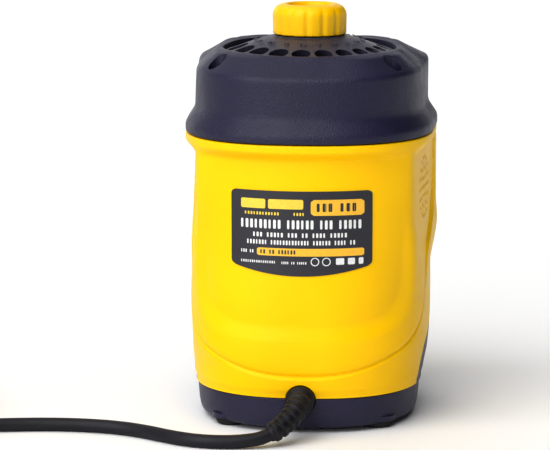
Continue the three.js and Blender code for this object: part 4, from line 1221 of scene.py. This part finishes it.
def make_switch():
    bezel = []
    for inset, out in ((0.8, 1.8), (0.25, 1.55), (0, 1.0), (0, 0)):
        outline = rounded_outline(8 - inset, 11.2 - inset, 2.0 - inset, (0, SWITCH_Z), 8)
        bezel.append([(a, SWITCH_FACE - out, b) for a, b in outline])
    frame_mesh = mesh_of(skin(bezel, False))
    can = prism(rounded_outline(6.3, 9.5, 0.8, (0, SWITCH_Z), 4), SWITCH_FACE - 0.5, SWITCH_FACE + 15, "y")
    frame_mesh = carve(frame_mesh, can, "UNION")
    well = prism(rounded_outline(5.2, 8.4, 0.6, (0, SWITCH_Z), 4), SWITCH_FACE - 5, SWITCH_FACE + 6, "y")
    frame_mesh = carve(frame_mesh, well)
    piece("switch_frame", frame_mesh, BLACK, "housing", "black_rubber", "switch_body")

    half_long, half_wide, back, steps = 7.4, 4.9, 3.6, 24
    rows = []
    for k in range(steps + 1):
        along = mix(-half_long, half_long, k / steps)
        t = abs(along) / half_long
        face = -0.5 + 0.9 * t * t
        half = half_wide - 0.35 * (1 - smooth(0, 0.06, 1 - t))
        rows.append([
            (-half, face + 0.45, along), (-half + 0.12, face + 0.15, along), (-half + 0.45, face, along),
            (half - 0.45, face, along), (half - 0.12, face + 0.15, along), (half, face + 0.45, along),
            (half, back, along * 0.86), (-half, back, along * 0.86),
        ])
    tilt = Matrix.Rotation(math.radians(ROCKER_TILT_DEG), 4, "X")
    place = Matrix.Translation((0, SWITCH_FACE - 1.2, SWITCH_Z)) @ tilt
    paddle = mesh_of(moved(skin(rows, False), place))
    piece("switch_paddle", paddle, RED, "rocker", "red_plastic", "switch_rocker")
    mark_at, mark_face, mark_back = 4.2, -0.33, 0.2
    stroke = prism(rounded_outline(0.35, 1.5, 0.3, (0, mark_at), 3), mark_face, mark_back, "y")
    ring = lathe([(r, y, 0, 1) for r, y in (
        (1.1, mark_face), (1.6, mark_face), (1.6, mark_back), (1.1, mark_back),
    )], 32)
    ring = moved(ring, Matrix.Translation((0, 0, -mark_at)) @ Matrix.Rotation(-TAU / 4, 4, "X"))
    marks = mesh_of(moved(merged(stroke, ring), place))
    piece("switch_marks", marks, INK_WHITE, "rocker", "red_plastic")


make_casing()
make_base()
make_cap()
make_dome()
make_knob()
make_label()
make_switch()


# -------- finishes of the nodes that stay as they are
NODE_FINISHES = [
    (ZINC, (
        "cap_screw", "clamp_bracket", "bracket_screw", "clamp_stud", "thrust_washer", "motor_bolt",
        "base_screw", "wheel_nut", "chamber_floor", "clamp_screw",
    )),
    (STEEL, ("bearing", "motor_shaft", "wheel_flange")),
    (LAMINATION, ("stator_core", "rotor_core")),
    (BLACK, ("terminal_block", "cooling_fan")),
    (BRASS, ("knob_insert",)),
    (COPPER, ("winding",)),
    (ALUMINIUM, ("end_shield",)),
    (LABEL, ("run_capacitor",)),
    (ABRASIVE, ("grinding_wheel",)),
    (CHARCOAL, ("cord_clamp",)),
]


def finish_nodes():
    for name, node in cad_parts.items():
        for material, starts in NODE_FINISHES:
            if name.startswith(starts):
                for spot in node.material_slots:
                    spot.material = material
                if not node.material_slots:
                    node.data.materials.append(material)


finish_nodes()


# -------- floor and light
# A pale wall all round with a dim ceiling above it. WALL_TOP is the sine of the wall's elevation.
WALL_GLOW, CEILING_GLOW = 0.85, 0.02
WALL_TOP, WALL_FADE = 0.1, 0.06
VIEW_EXPOSURE = 0.12
VIEW_GAMMA = 0.8


def make_stage():
    material, _, shader = new_material("pale_floor", (0.94, 0.94, 0.94), 0.8)
    shader.inputs["Specular IOR Level"].default_value = 0.1
    bpy.ops.mesh.primitive_plane_add(size=30, location=(0, 0, 0))
    floor = bpy.context.object
    floor.name = "floor"
    floor.data.materials.append(material)
    world = bpy.data.worlds.new("studio")
    world.use_nodes = True
    tree = world.node_tree
    place = tree.nodes.new("ShaderNodeTexCoord")
    axes = add_node(tree, "ShaderNodeSeparateXYZ", {0: place.outputs["Generated"]})
    glow = ramp(tree, axes.outputs["Z"], WALL_GLOW, CEILING_GLOW, WALL_TOP, WALL_TOP + WALL_FADE)
    background = tree.nodes["Background"]
    background.inputs["Color"].default_value = (1, 1, 1, 1)
    tree.links.new(glow, background.inputs["Strength"])
    bpy.context.scene.world = world
    view = bpy.context.scene.view_settings
    view.view_transform = "Standard"
    view.exposure = VIEW_EXPOSURE
    view.gamma = VIEW_GAMMA


def soft_light(name, towards, spread_deg, strength):
    """A wide, distant source, as a large overhead diffuser gives. towards points from the machine to it."""
    light = bpy.data.lights.new(name, "SUN")
    light.angle = math.radians(spread_deg)
    light.energy = strength
    lamp = new_object(name, light)
    lamp.rotation_euler = Vector(towards).to_track_quat("Z", "Y").to_euler()


make_stage()
soft_light("key", (0.62, 1.0, 0.8), 70, 2.65)
soft_light("top", (0.1, 0.2, 1.0), 70, 1.2)
soft_light("front", (0.45, -1.0, 0.5), 80, 0.95)
